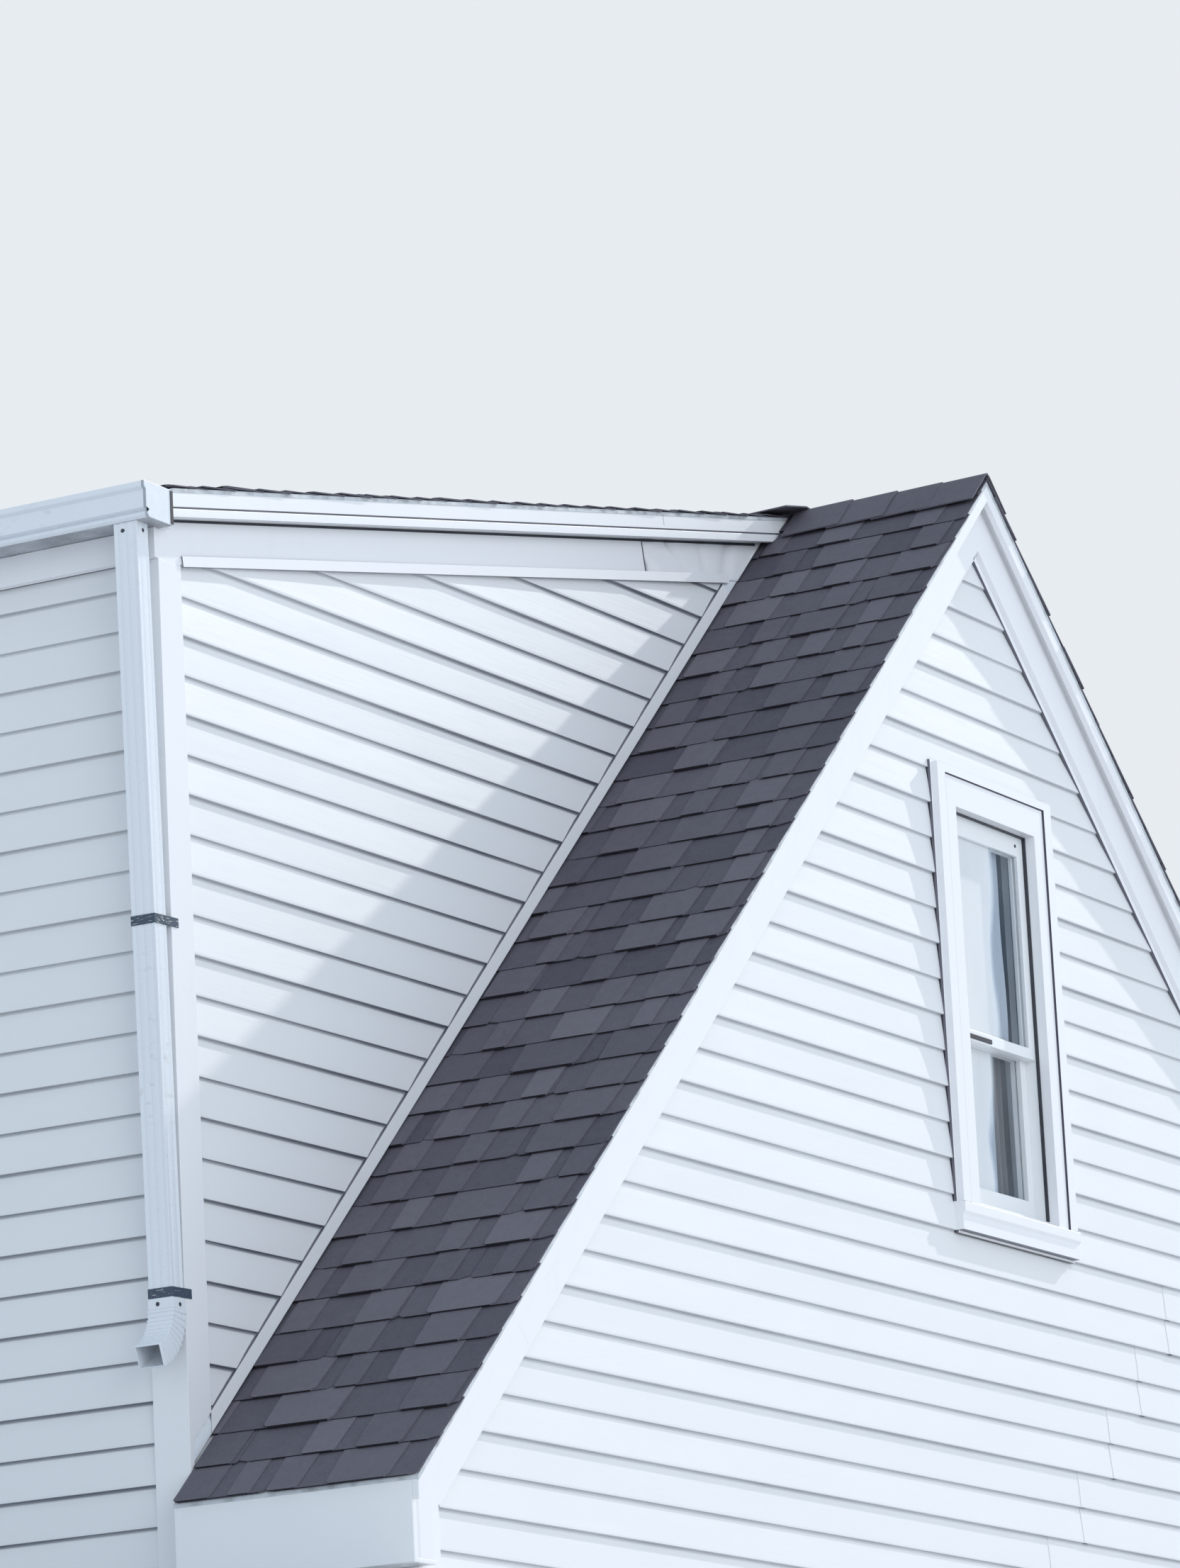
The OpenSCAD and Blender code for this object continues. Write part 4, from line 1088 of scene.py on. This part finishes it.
def shingled(name, slope, run, edges, seed):
    """Covers a slope of length run with laminated shingles between the edges that edges(v) gives"""
    s = sizes()
    chance = random.Random(seed)
    strip, joint, head_lap, sunk = 0.985, 0.0015, 0.035, 0.0005
    widths, gaps, vary = (0.08, 0.10, 0.13, 0.16, 0.20), (0.05, 0.08, 0.12, 0.16), 0.015
    sheets, tabs = [], []
    for i in range(math.ceil(run / s.exposure)):
        butt = run - i * s.exposure
        top = max(butt - s.exposure - head_lap, 0.002)
        fall = (butt - top) * 2 * s.ply / s.exposure
        lift = 0.0 if i == 0 else 0.0026
        for left, right in edges(butt):
            u = left - chance.uniform(0.0, 0.9)
            while u < right:
                end = u + strip
                a, b = max(u, left), min(end, right)
                u = end + joint
                if b - a < 0.02:
                    continue
                a += chance.uniform(-0.003, 0.003) if a == left else 0.0
                b += chance.uniform(-0.003, 0.003) if b == right else 0.0
                low = butt + chance.uniform(-0.0018, 0.0018)
                base = chance.uniform(0.0, 0.45)
                sheets.append((a, b, top, low, -s.ply - fall + sunk, -s.ply, s.ply, base))
                t = a + chance.uniform(0.0, 0.10)
                while t < b - 0.03:
                    wide = chance.choice(widths) + chance.uniform(-vary, vary)
                    tone = min(1.0, max(0.0, base + chance.uniform(0.1, 0.6)))
                    raised = lift * chance.choice((0.0, 0.0, 0.4, 1.0))
                    tabs.append((t, min(t + wide, b), top, low + 0.001 + raised, -fall + sunk,
                                 chance.uniform(-0.0006, 0.0004) + raised, s.ply + 0.0004 + raised, tone))
                    t += wide + chance.choice(gaps) + chance.uniform(-vary, vary)
    sheet, tab = shingle_block("shingle_sheet", 0.0), shingle_block("shingle_tab", 0.07)
    made = joined([laid_blocks(name, sheet, sheets, slope), laid_blocks(name, tab, tabs, slope)], name)
    remove(sheet, tab)
    return made


class DORMER_OT_shingles(bpy.types.Operator):
    """Lays laminated shingles on the three slopes: a base layer, and tabs of many widths on it"""
    bl_idname = "dormer.shingles"
    bl_label = "Shingles"

    def execute(self, context):
        s = sizes()
        rake, overhang = SHINGLE_RAKE_Y, SHINGLE_OVERHANG_Y
        main_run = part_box("right_shingles")[1].x / math.cos(s.roof_pitch)
        dormer_run = -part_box("dormer_shingles")[0].x / math.cos(s.dormer_pitch)

        def strip_edges(butt):
            inner = POST_Y if butt * math.cos(s.roof_pitch) > HALF_W else DORMER_HALF + 0.002
            return [(-rake, -inner), (inner, rake)]

        for name, side, pitch, run, edges, seed in (
                ("right_shingles", 1, s.roof_pitch, main_run, lambda butt: [(-rake, rake)], 3),
                ("strip_shingles", -1, s.roof_pitch, main_run, strip_edges, 5),
                ("dormer_shingles", -1, s.dormer_pitch, dormer_run, lambda butt: [(-overhang, overhang)], 8)):
            piece = shingled(name + "_laid", Slope(side, pitch), run, edges, seed)
            hand_in(piece, "asphalt_shingles", name, smooth=20.0)
        return {"FINISHED"}


def cap_shingle(left_pitch, right_pitch):
    """One shingle folded over the ridge, its exposed end at the lowest Y"""
    s = sizes()
    wing, thick, crest, rest, lift = s.cap_wing, 0.004, 0.018, 0.006, 0.005

    def side(pitch, turn):
        return [(turn * d * math.cos(pitch), -d * math.sin(pitch)) for d in (wing, wing * 0.5, crest)]

    points = side(left_pitch, -1) + [(0.0, -crest * 0.25)] + side(right_pitch, 1)[::-1]
    piece = folded_sheet("cap_shingle", [(-x, z) for x, z in points], s.cap_exposure * 1.28)
    piece.data.transform(Matrix.Rotation(math.pi / 2, 4, "Z") @ Matrix.Scale(-1, 4, (0, 1, 0)))
    for vertex in piece.data.vertices:
        vertex.co.z += rest + (lift if vertex.co.y < 0.01 else 0.0)
    thicken(piece, thick)
    return piece


class DORMER_OT_ridge_caps(bpy.types.Operator):
    """Folds cap shingles over the ridge, each lapping the one before it"""
    bl_idname = "dormer.ridge_caps"
    bl_label = "Ridge cap"

    def execute(self, context):
        s = sizes()
        chance = random.Random(11)
        steep = cap_shingle(s.roof_pitch, s.roof_pitch)
        low = cap_shingle(s.dormer_pitch, s.roof_pitch)
        count = round(2 * SHINGLE_RAKE_Y / s.cap_exposure)
        made = []
        for i in range(count):
            y = -SHINGLE_RAKE_Y + i * 2 * SHINGLE_RAKE_Y / count
            beside = abs(y + s.cap_exposure / 2) > SHINGLE_OVERHANG_Y
            place = Matrix.Translation((chance.uniform(-0.003, 0.003), y, ridge_z()))
            cap = copy_mesh(steep if beside else low, "cap", place)
            mark(cap, "tone", chance.uniform(0.1, 0.9))
            made.append(cap)
        remove(steep, low)
        piece = joined(made, "ridge_cap_shingles")
        trim_away(piece, (0, SHINGLE_RAKE_Y, 0), (0, 1, 0))
        hand_in(piece, "asphalt_shingles", "ridge_cap", smooth=20.0)
        return {"FINISHED"}


# Trim

# How far the edges of each wrapped piece are rounded, in metres
TRIM_EDGES = {
    "dormer_corner_posts": 0.0008,
    "house_corner_posts": 0.003,
    "cheek_friezes": 0.0007,
    "cheek_fascias": 0.0016,
    "dormer_front_frieze": 0.0025,
    "dormer_front_fascia": 0.002,
    "rake_friezes": 0.0022,
    "rake_fascias": 0.002,
    "eave_fascias": 0.002,
    "eave_soffits": 0.001,
}

# Distances from the ridge at which wrapped trim has a joint, on its front face and on its back one
FRIEZE_SEAM, BACK_FRIEZE_SEAM = 0.867, 1.3
RAKE_SEAMS = {
    "rake_friezes": ((1.62, 2.95), (1.4, 2.8)),
    "rake_fascias": ((1.05, 2.3), (0.9, 2.2)),
}

# Dents of the front cheek's frieze: from and to, as (x, z), then height and half width
DENTS = (
    ((-0.850, 3.190), (-0.700, 3.140), 0.014, 0.032),
    ((-0.850, 3.190), (-0.760, 3.270), 0.010, 0.024),
    ((-0.700, 3.240), (-0.560, 3.180), 0.008, 0.024),
    ((-0.300, 3.350), (-0.360, 3.200), 0.012, 0.036),
    ((-0.520, 3.330), (-0.470, 3.190), 0.007, 0.022),
)


def seamed(piece, pitch, slopes, front, back):
    """Joints in wrapped trim, square to its slopes, on the faces that look to -Y and to Y"""
    for side in slopes:
        for outward, places in (((0, -1, 0), front), ((0, 1, 0), back)):
            for x in places:
                groove(piece, (side * x, 0, ridge_z() - x * math.tan(pitch)),
                       (side * math.cos(pitch), 0, -math.sin(pitch)), outward)


def slope_bar(turn, near, far, high, low, lift=0.0):
    """A dark bar on a cheek's frieze, between two distances from the ridge and two depths under
    the dormer's slope, or in front of the frieze by a lift.  The bars stand for open joints and for
    the painted shadow under the fascia.  Turn is -1 on the front cheek and 1 on the back one."""
    pitch = sizes().dormer_pitch
    start, end = sorted((turn * near, turn * far))
    middle = (start + end) / 2
    reach = (end - start) / 2 / math.cos(pitch)
    piece = bar((-reach, reach), (-0.0008 - lift, 0.0015), (-low, -high))
    piece.data.transform(Matrix.Translation((middle, -POST_Y, dormer_z(middle)))
                         @ Matrix.Rotation(turn * pitch, 4, "Y"))
    piece.data.transform(Matrix.Rotation(0.0 if turn < 0 else math.pi, 4, "Z"))
    return piece


def lowered(piece, depth, reach, drop):
    """Moves what lies near a depth under the dormer's slope down by a drop"""
    tilt = math.cos(sizes().dormer_pitch)
    for vertex in piece.data.vertices:
        if abs((dormer_z(vertex.co.x) - vertex.co.z) * tilt - depth) < reach:
            vertex.co.z -= drop / tilt


def crumpled(piece, low, high, outward, folds):
    """Buckles a face inside a box, as thin metal does when it is bent by hand.  Each fold runs
    between two points of the face and gives its height and half width."""
    low, high, outward = Vector(low), Vector(high), Vector(outward)
    with editing(piece):
        if not pick(piece, "faces", lambda face: face.normal.dot(outward) > 0.9 and all(
                low[i] <= face.calc_center_median()[i] <= high[i] for i in range(3))):
            raise RuntimeError("no face to crumple")
        bpy.ops.mesh.inset(thickness=0.003)
        bpy.ops.mesh.quads_convert_to_tris()
        bpy.ops.mesh.subdivide(number_cuts=30)
    for vertex in piece.data.vertices:
        if not vertex.select or not low.y <= vertex.co.y <= high.y:
            continue
        spot = Vector((vertex.co.x, vertex.co.z))
        for start, end, height, width in folds:
            start, along = Vector(start), Vector(end) - Vector(start)
            share = min(1.0, max(0.0, (spot - start).dot(along) / along.length_squared))
            gap = (spot - start - along * share).length
            vertex.co -= outward * height * max(0.0, 1.0 - gap / width) * (1.0 - 0.6 * share)


def wrapped(node, width):
    """A piece of wrapped trim, with its joints and dents"""
    s = sizes()
    piece = dressed(node, width)
    if node in RAKE_SEAMS:
        seamed(piece, s.roof_pitch, SIDES, *RAKE_SEAMS[node])
    if node == "cheek_friezes":
        seamed(piece, s.dormer_pitch, (-1,), (FRIEZE_SEAM,), (BACK_FRIEZE_SEAM,))
        crumpled(piece, (-FRIEZE_SEAM - 0.001, -POST_Y - 0.01, 2.9), (-0.12, -POST_Y + 0.01, 3.5),
                 (0, -1, 0), DENTS)
    if node == "cheek_fascias":
        lowered(piece, depth=0.047, reach=0.0042, drop=0.014)
        # Painted shade in the fascia's groove, whose lower side would catch the sun
        mark_dirt_and_shade(piece, 0.8, lambda face: (
            0.0003 < OVERHANG_Y - abs(face.center.y) < 0.0045 and abs(face.normal.x) < 0.9))
    return piece


def frieze_joints():
    """On each cheek: the frieze's joint, a long dark bar under the fascia that is painted shadow, and the
    fascia's own joint
    """
    s = sizes()
    top, foot = s.roofing + 0.075, cheek_edge(FRIEZE_LAP)
    wide, fine = 0.0025, 0.0006  # Half the widths of the frieze's joint and of the fascia's
    made = []
    for turn, x in ((-1, FRIEZE_SEAM), (1, BACK_FRIEZE_SEAM)):
        seam = x - 0.071
        made.append(slope_bar(turn, x - wide, x + wide, top, foot))
        # Painted shadow: a long dark bar along the frieze just under the fascia
        made.append(slope_bar(turn, 0.17, FRONT_X - 0.005, top - 0.004, top + 0.003))
        made.append(slope_bar(turn, seam - fine, seam + fine, s.roofing + 0.004, s.roofing + 0.038,
                              OVERHANG_Y - POST_Y - 0.0004))
    return made


def eave_boxes():
    """Caps that close the ends of the eaves, boards under their soffits and aprons beside the posts"""
    s = sizes()
    low, (outer, end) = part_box("eave_soffits")[0].z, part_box("eave_soffits")[1].xy
    deep, high, board = 0.054, 0.215, 0.007
    made = []
    for side, far in ((-1, end), (1, end), (-1, POST_Y + deep)):
        for turn in SIDES:
            y = (turn * far, turn * (far - deep))
            made.append(bar((side * HALF_W, side * outer), y, (low, low + high)))
    for side in SIDES:
        for turn in SIDES:
            y = (turn * (GABLE_Y - 0.08), turn * (POST_Y if side < 0 else 0.0))
            made.append(bar((side * HALF_W, side * (HALF_W + board)), y, (0.0, low)))
    middle, reach = -3.317, deep / math.cos(s.roof_pitch)
    for turn in SIDES:
        y = (turn * (POST_Y - 0.020), turn * (POST_Y + 0.006))
        apron = bar((-reach, reach), y, (-s.roofing, -0.0085))
        place = Matrix.Translation((middle, 0, roof_z(middle)))
        apron.data.transform(place @ Matrix.Rotation(-s.roof_pitch, 4, "Y"))
        made.append(apron)
    return made


class DORMER_OT_trim(bpy.types.Operator):
    """Wraps the fascias, friezes, soffits and corner posts, with rounded edges, joints and dents"""
    bl_idname = "dormer.trim"
    bl_label = "Trim"

    def execute(self, context):
        for node, width in TRIM_EDGES.items():
            hand_in(wrapped(node, width), "white_trim", node)
        # Dark bars: the frieze joints, and the painted shadow under the cheek fascias
        hand_in(joined(frieze_joints(), "frieze_joints"), "dark_seal", slot="dark_strap")
        hand_in(joined(eave_boxes(), "eave_box_ends"), "white_trim")
        hand_in(dressed("drip_edges", 0.0), "drip_edge_metal", "drip_edges")
        return {"FINISHED"}


# Water

def screw_head(radius, height):
    """The upper half of a ball on a short shank"""
    piece = added(bpy.ops.mesh.primitive_uv_sphere_add, "head", segments=12, ring_count=8, radius=radius)
    with editing(piece, "VERT"):
        pick(piece, "verts", lambda v: v.co.z < -1e-5)
        bpy.ops.mesh.delete(type="VERT")
        pick(piece, "verts", lambda v: v.co.z < 1e-5)
        bpy.ops.mesh.select_mode(type="EDGE")
        bpy.ops.mesh.extrude_region_move(TRANSFORM_OT_translate={"value": (0, 0, -radius * 0.4)})
        bpy.ops.mesh.edge_face_add()
    piece.data.transform(Matrix.Diagonal((1, 1, height / radius, 1)))
    face_outwards(piece)
    return piece


def heads(name, radius, height, spots):
    """Round heads at (place, outward direction) pairs"""
    master = screw_head(radius, height)
    made = []
    for place, outward in spots:
        turn = Vector((0, 0, 1)).rotation_difference(Vector(outward)).to_matrix().to_4x4()
        made.append(copy_mesh(master, name, Matrix.Translation(place) @ turn))
    remove(master)
    return joined(made, name)


def spout_face(z):
    """X of the downspout's outer face at a height"""
    lean = SPOUT_HIGH.x - SPOUT_LOW.x - SPOUT_DEPTH
    return SPOUT_HIGH.x - SPOUT_DEPTH - lean * (z - SPOUT_LOW.z) / (SPOUT_HIGH.z - SPOUT_LOW.z)


def spout_screws():
    """A screw on the outer face and one on the side of the downspout, at its top and in its sleeve.
    Each is given by its height on the two faces and by how far the faces stand out there."""
    middle_y = (SPOUT_LOW.y + SPOUT_HIGH.y) / 2
    sunk = 0.0012
    spots = []
    for outer, side, proud in ((SPOUT_HIGH.z - 0.020, SPOUT_HIGH.z - 0.020, 0.0),
                               (SPOUT_LOW.z + 0.012, SPOUT_LOW.z + 0.010, 0.0028)):
        spots.append(((spout_face(outer) + sunk - proud, middle_y + 0.008, outer), (-1, 0, 0)))
        spots.append(((spout_face(side) + 0.029, SPOUT_LOW.y + sunk - proud, side), (0, -1, 0)))
    return heads("downspout_screws", 0.0060, 0.003, spots)


def end_seam(turn):
    """A skin over the front of the gutter's last few millimetres, where dirt gathers at its end cap"""
    seam = dressed("gutter", 0.0)
    trim_away(seam, (0, turn * (OVERHANG_Y - 0.009), 0), (0, -turn, 0))
    with editing(seam):
        pick(seam, "faces", lambda face: face.normal.x > -0.3)
        bpy.ops.mesh.delete(type="FACE")
        bpy.ops.mesh.select_all(action="SELECT")
        bpy.ops.transform.shrink_fatten(value=0.0005)
    mark(seam, "soil", 0.62)
    return seam


def end_sealant(turn):
    """A bead of sealant up the corner where an end cap of the gutter meets the fascia"""
    x, y, z, thick = -FRONT_X, turn * OVERHANG_Y, GUTTER_Z, 0.0012
    return bar((x - 0.012, x + 0.001), (y - thick, y + thick), (z + 0.002, z + 0.089))


class DORMER_OT_water(bpy.types.Operator):
    """Finishes the gutter, its end caps and hangers, the flashings and the downspout"""
    bl_idname = "dormer.water"
    bl_label = "Gutter and downspout"

    def execute(self, context):
        for node, width in (
                ("gutter", 0.0008), ("gutter_end_caps", 0.0008), ("gutter_hangers", 0.0004),
                ("cheek_flashings", 0.0015), ("downspout", 0.0006), ("downspout_elbow", 0.0005),
                ("downspout_straps", 0.0006)):
            piece = dressed(node, width, 1 if "spout" in node else 2)
            if node == "gutter":
                # Painted shade, with some dirt, on the gutter's underside
                mark_dirt_and_shade(piece, 0.75, lambda face: face.normal.z < -0.8 and face.center.z < GUTTER_Z + 0.001)
            hand_in(piece, "dark_strap" if "strap" in node else "coated_aluminium", node,
                    smooth=50.0 if "elbow" in node else 30.0)
        hand_in(spout_screws(), "dark_seal", slot="dark_strap")
        seams, sealant = zip(*((end_seam(turn), end_sealant(turn)) for turn in SIDES))
        hand_in(joined(seams, "gutter_end_seams"), "coated_aluminium")
        hand_in(joined(sealant, "gutter_sealant"), "dark_seal", slot="dark_strap")
        return {"FINISHED"}


# Windows

def window_glass():
    """The panes, with how far across its window each point lies, from 0 at the left to 1"""
    half = sizes().window_w / 2
    glass = dressed("window_glass", 0.0)
    across = [0.0] * len(glass.data.vertices)
    for place in window_matrices():
        for vertex in glass.data.vertices:
            spot = place.inverted() @ vertex.co
            if abs(spot.x) < half and abs(spot.y) < 0.2:
                across[vertex.index] = (spot.x + half) / (2 * half)
    glass.data.attributes.new("across", "FLOAT", "POINT").data.foreach_set("value", across)
    return glass


def weatherstrips():
    """Seals at the sides, head and meeting rail of one window, and dark strips in the tracks beside the upper
    sash that are painted shade deep in the jambs
    """
    s = sizes()
    half, sill, head = s.window_w / 2, CASING_LOW + s.jamb, CASING_HIGH - s.casing
    meeting = sill + s.meeting
    depth, rail_depth, tracks = (-0.004, 0.0068), (0.0035, 0.0075), ((0.042, 0.058), (0.078, 0.112))
    made = [bar((turn * half - 0.0025, turn * half + 0.0015), depth, (sill, head)) for turn in SIDES]
    made.append(bar((-half, half), depth, (head - 0.0035, head + 0.001)))
    made.append(bar((-half + 0.002, -0.035), rail_depth, (meeting - 0.010, meeting + 0.003)))
    # Painted shade: dark strips down the jambs' tracks beside the upper sash
    for turn in SIDES:
        for track in tracks:
            made.append(bar((turn * half, turn * (half - 0.002)), track, (meeting, head)))
    return made


def pin_spots(place):
    """Where the two pins of a window's upper sash stand, under its head, and which way they look"""
    x, y, z = 0.205, 0.0072, CASING_HIGH - sizes().casing - 0.030
    outward = place.to_3x3() @ Vector((0, -1, 0))
    return [(place @ Vector((turn * x, y, z)), outward) for turn in SIDES]


class DORMER_OT_windows(bpy.types.Operator):
    """Finishes the window frames, casings, sills, sashes and glass, with weatherstrip seals, dark strips of
    painted shade in the tracks, and pins
    """
    bl_idname = "dormer.windows"
    bl_label = "Windows"

    def execute(self, context):
        # The last value is how dark the faces that look down are painted as shade
        for node, width, material, soil in (
                ("window_casings", 0.0012, "white_trim", 0.28), ("window_sills", 0.0015, "white_trim", 0.9),
                ("window_frames", 0.0012, "white_window_vinyl", 0.28),
                ("upper_sashes", 0.002, "white_window_vinyl", 0.0),
                ("lower_sashes", 0.002, "white_window_vinyl", 0.0)):
            piece = dressed(node, width)
            if soil:
                mark_dirt_and_shade(piece, soil, lambda face: face.normal.z < -0.8)
            hand_in(piece, material, node)
        hand_in(window_glass(), "window_glass", "window_glass")
        seals, pins = [], []
        for place in window_matrices():
            made = weatherstrips()
            for piece in made:
                piece.data.transform(place)
            seals += made
            pins += pin_spots(place)
        hand_in(joined(seals, "weatherstrips"), "dark_seal", slot="dark_strap")
        hand_in(heads("sash_pins", 0.0055, 0.003, pins), "dark_seal", slot="dark_strap")
        return {"FINISHED"}


def curtain(name, cloth, span, heights, depth, edge_wave, pleat, swing, place, seed):
    """A gathered curtain of plain cloth, hung from its top edge"""
    (left, right), (low, high) = span, heights
    across, down = max(24, round((right - left) / pleat * 10)), 30
    piece = added(bpy.ops.mesh.primitive_grid_add, name, x_subdivisions=across, y_subdivisions=down, size=1)
    phase = random.Random(seed).uniform(0, 6)
    for vertex in piece.data.vertices:
        u, v = vertex.co.x + 0.5, vertex.co.y + 0.5
        edge = right + edge_wave * (math.sin(v * 9.0) * 0.5 + (1 - v) * 1.2)
        x = left + (edge - left) * u
        loose = 0.55 + 0.45 * (1 - v)
        y = depth + swing * loose * math.sin(2 * math.pi * x / pleat + phase + math.sin(v * 4.0) * 0.5)
        vertex.co = (x, y, low + (high - low) * v + 0.003 * math.sin(x * 60))
    area = sum(face.area for face in piece.data.polygons)
    thicken(piece, 0.0006)
    piece.data.transform(place)
    hand_in(piece, cloth, slot="white_trim", smooth=80.0)
    area / (high - low)
    high - low


class DORMER_OT_curtains(bpy.types.Operator):
    """Hangs a pale curtain close behind the sashes, and beside it a darker cloth that is painted shade where
    the pale curtain lies in shade
    """
    bl_idname = "dormer.curtains"
    bl_label = "Curtains"

    def execute(self, context):
        s = sizes()
        half, edge = s.window_w / 2 + 0.012, s.curtain_edge
        sill, head = CASING_LOW + s.jamb, CASING_HIGH - s.casing
        meeting = sill + s.meeting
        for i, place in enumerate(window_matrices()):
            curtain(f"upper_curtain_{i + 1}", "curtain", (-half + 0.02, edge + 0.055),
                    (meeting + 0.03, head - 0.005), 0.050, 0.005, 0.060, 0.004, place, i)
            curtain(f"lower_curtain_{i + 1}", "curtain", (-half, edge + 0.010),
                    (sill - 0.01, meeting + 0.02), 0.083, 0.0, 0.080, 0.005, place, 20 + i)
            # Painted shade: a darker cloth behind the right part of the lower sash, where the pale curtain
            # lies in shade
            curtain(f"dark_curtain_{i + 1}", "lining", (edge - 0.03, half),
                    (sill - 0.01, meeting + 0.08), 0.108, 0.0, 0.034, 0.010, place, 10 + i)
        return {"FINISHED"}


# Framing

class DORMER_OT_framing(bpy.types.Operator):
    """Gives the lumber and the strand board panels their wood"""
    bl_idname = "dormer.framing"
    bl_label = "Framing"

    def execute(self, context):
        slots = {row["node"]: row["material_slot"] for row in frame["record"]["subparts"]}
        for name, node in frame["nodes"].items():
            if slots[name] in ("framing_lumber", "sheathing_panel"):
                wear(node, slots[name])
        return {"FINISHED"}


# Stage

def lamp(name, strength, tint, travel, spread):
    data = bpy.data.lights.new(name, "SUN")
    data.energy, data.color, data.angle = strength, tint, spread
    made = bpy.data.objects.new(name, data)
    made.rotation_euler = Vector(travel).to_track_quat("-Z", "Y").to_euler()
    bpy.context.scene.collection.objects.link(made)


def make_floor():
    """Pale above, and clear from below, because the camera stands lower than the floor"""
    finish = Finish("studio_floor", roughness=0.85)
    base = colours().floor
    finish.feed({"Base Color": finish.mix(finish.noise(3.0, 3.0), base, shade_of(base, 0.97))})
    finish.fill(finish.end, finish.node("ShaderNodeMixShader", {
        0: finish.node("ShaderNodeNewGeometry", output="Backfacing"),
        1: Value(finish, finish.surface.outputs[0]),
        2: finish.node("ShaderNodeBsdfTransparent"),
    }))
    return finish.material


def make_world(lights):
    """A bluish sky for the light, which the camera and the glass see as a pale backdrop"""
    world = bpy.data.worlds.new("studio")
    bpy.context.scene.world = world
    world.use_nodes = True
    nodes = Nodes(world.node_tree)
    camera, glossy, through = (nodes.node("ShaderNodeLightPath", output=f"Is {kind} Ray")
                               for kind in ("Camera", "Glossy", "Transmission"))
    end = world.node_tree.nodes.new("ShaderNodeOutputWorld")
    nodes.fill(end.inputs["Surface"], nodes.node("ShaderNodeMixShader", {
        0: nodes.math("MAXIMUM", camera, nodes.math("MAXIMUM", glossy, through)),
        1: nodes.node("ShaderNodeBackground", {"Color": lights.sky_tint, "Strength": lights.sky}),
        2: nodes.node("ShaderNodeBackground", {"Color": colours().backdrop}),
    }))


class DORMER_OT_stage(bpy.types.Operator):
    """Sets up the camera, the floor, the background and the lights"""
    bl_idname = "dormer.stage"
    bl_label = "Stage"

    def execute(self, context):
        lights = context.scene.dormer_lights
        data = bpy.data.cameras.new("camera")
        data.lens, data.sensor_width = lights.lens, 36.0
        data.clip_start, data.clip_end = 0.1, 200.0
        camera = bpy.data.objects.new("camera", data)
        camera.location, camera.rotation_euler = lights.camera_place, lights.camera_turn
        context.scene.collection.objects.link(camera)
        context.scene.camera = camera
        floor = added(bpy.ops.mesh.primitive_plane_add, "studio_floor", size=60)
        floor.data.materials.append(make_floor())
        make_world(lights)
        lamp("key_sun", lights.key, lights.key_tint, lights.key_travel, lights.key_size)
        lamp("fill_sun", lights.fill, lights.fill_tint, lights.fill_travel, lights.fill_size)
        context.scene.view_settings.view_transform = "Standard"
        return {"FINISHED"}


OPERATORS = (
    DORMER_OT_stage, DORMER_OT_framing, DORMER_OT_siding, DORMER_OT_channels, DORMER_OT_shingles,
    DORMER_OT_ridge_caps, DORMER_OT_trim, DORMER_OT_water, DORMER_OT_windows, DORMER_OT_curtains,
)


class DORMER_PT_panel(bpy.types.Panel):
    """Lists the dormer's sizes, colours and lights, and the operators that build it"""
    bl_idname = "DORMER_PT_panel"
    bl_label = "Dormer"
    bl_space_type = "VIEW_3D"
    bl_region_type = "UI"
    bl_category = "Dormer"

    def draw(self, context):
        for group in (context.scene.dormer_sizes, context.scene.dormer_colours, context.scene.dormer_lights):
            box = self.layout.box()
            for name in group.__annotations__:
                box.prop(group, name)
        for operator in OPERATORS:
            self.layout.operator(operator.bl_idname)


CLASSES = (DormerSizes, DormerColours, DormerLights, *OPERATORS, DORMER_PT_panel)


def register():
    for made in CLASSES:
        bpy.utils.register_class(made)
    bpy.types.Scene.dormer_sizes = bpy.props.PointerProperty(type=DormerSizes)
    bpy.types.Scene.dormer_colours = bpy.props.PointerProperty(type=DormerColours)
    bpy.types.Scene.dormer_lights = bpy.props.PointerProperty(type=DormerLights)


def unregister():
    for name in ("dormer_sizes", "dormer_colours", "dormer_lights"):
        delattr(bpy.types.Scene, name)
    for made in reversed(CLASSES):
        bpy.utils.unregister_class(made)


def main():
    register()
    for operator in OPERATORS:
        group, name = operator.bl_idname.split(".")
        getattr(getattr(bpy.ops, group), name)()


if __name__ == "__main__":
    main()
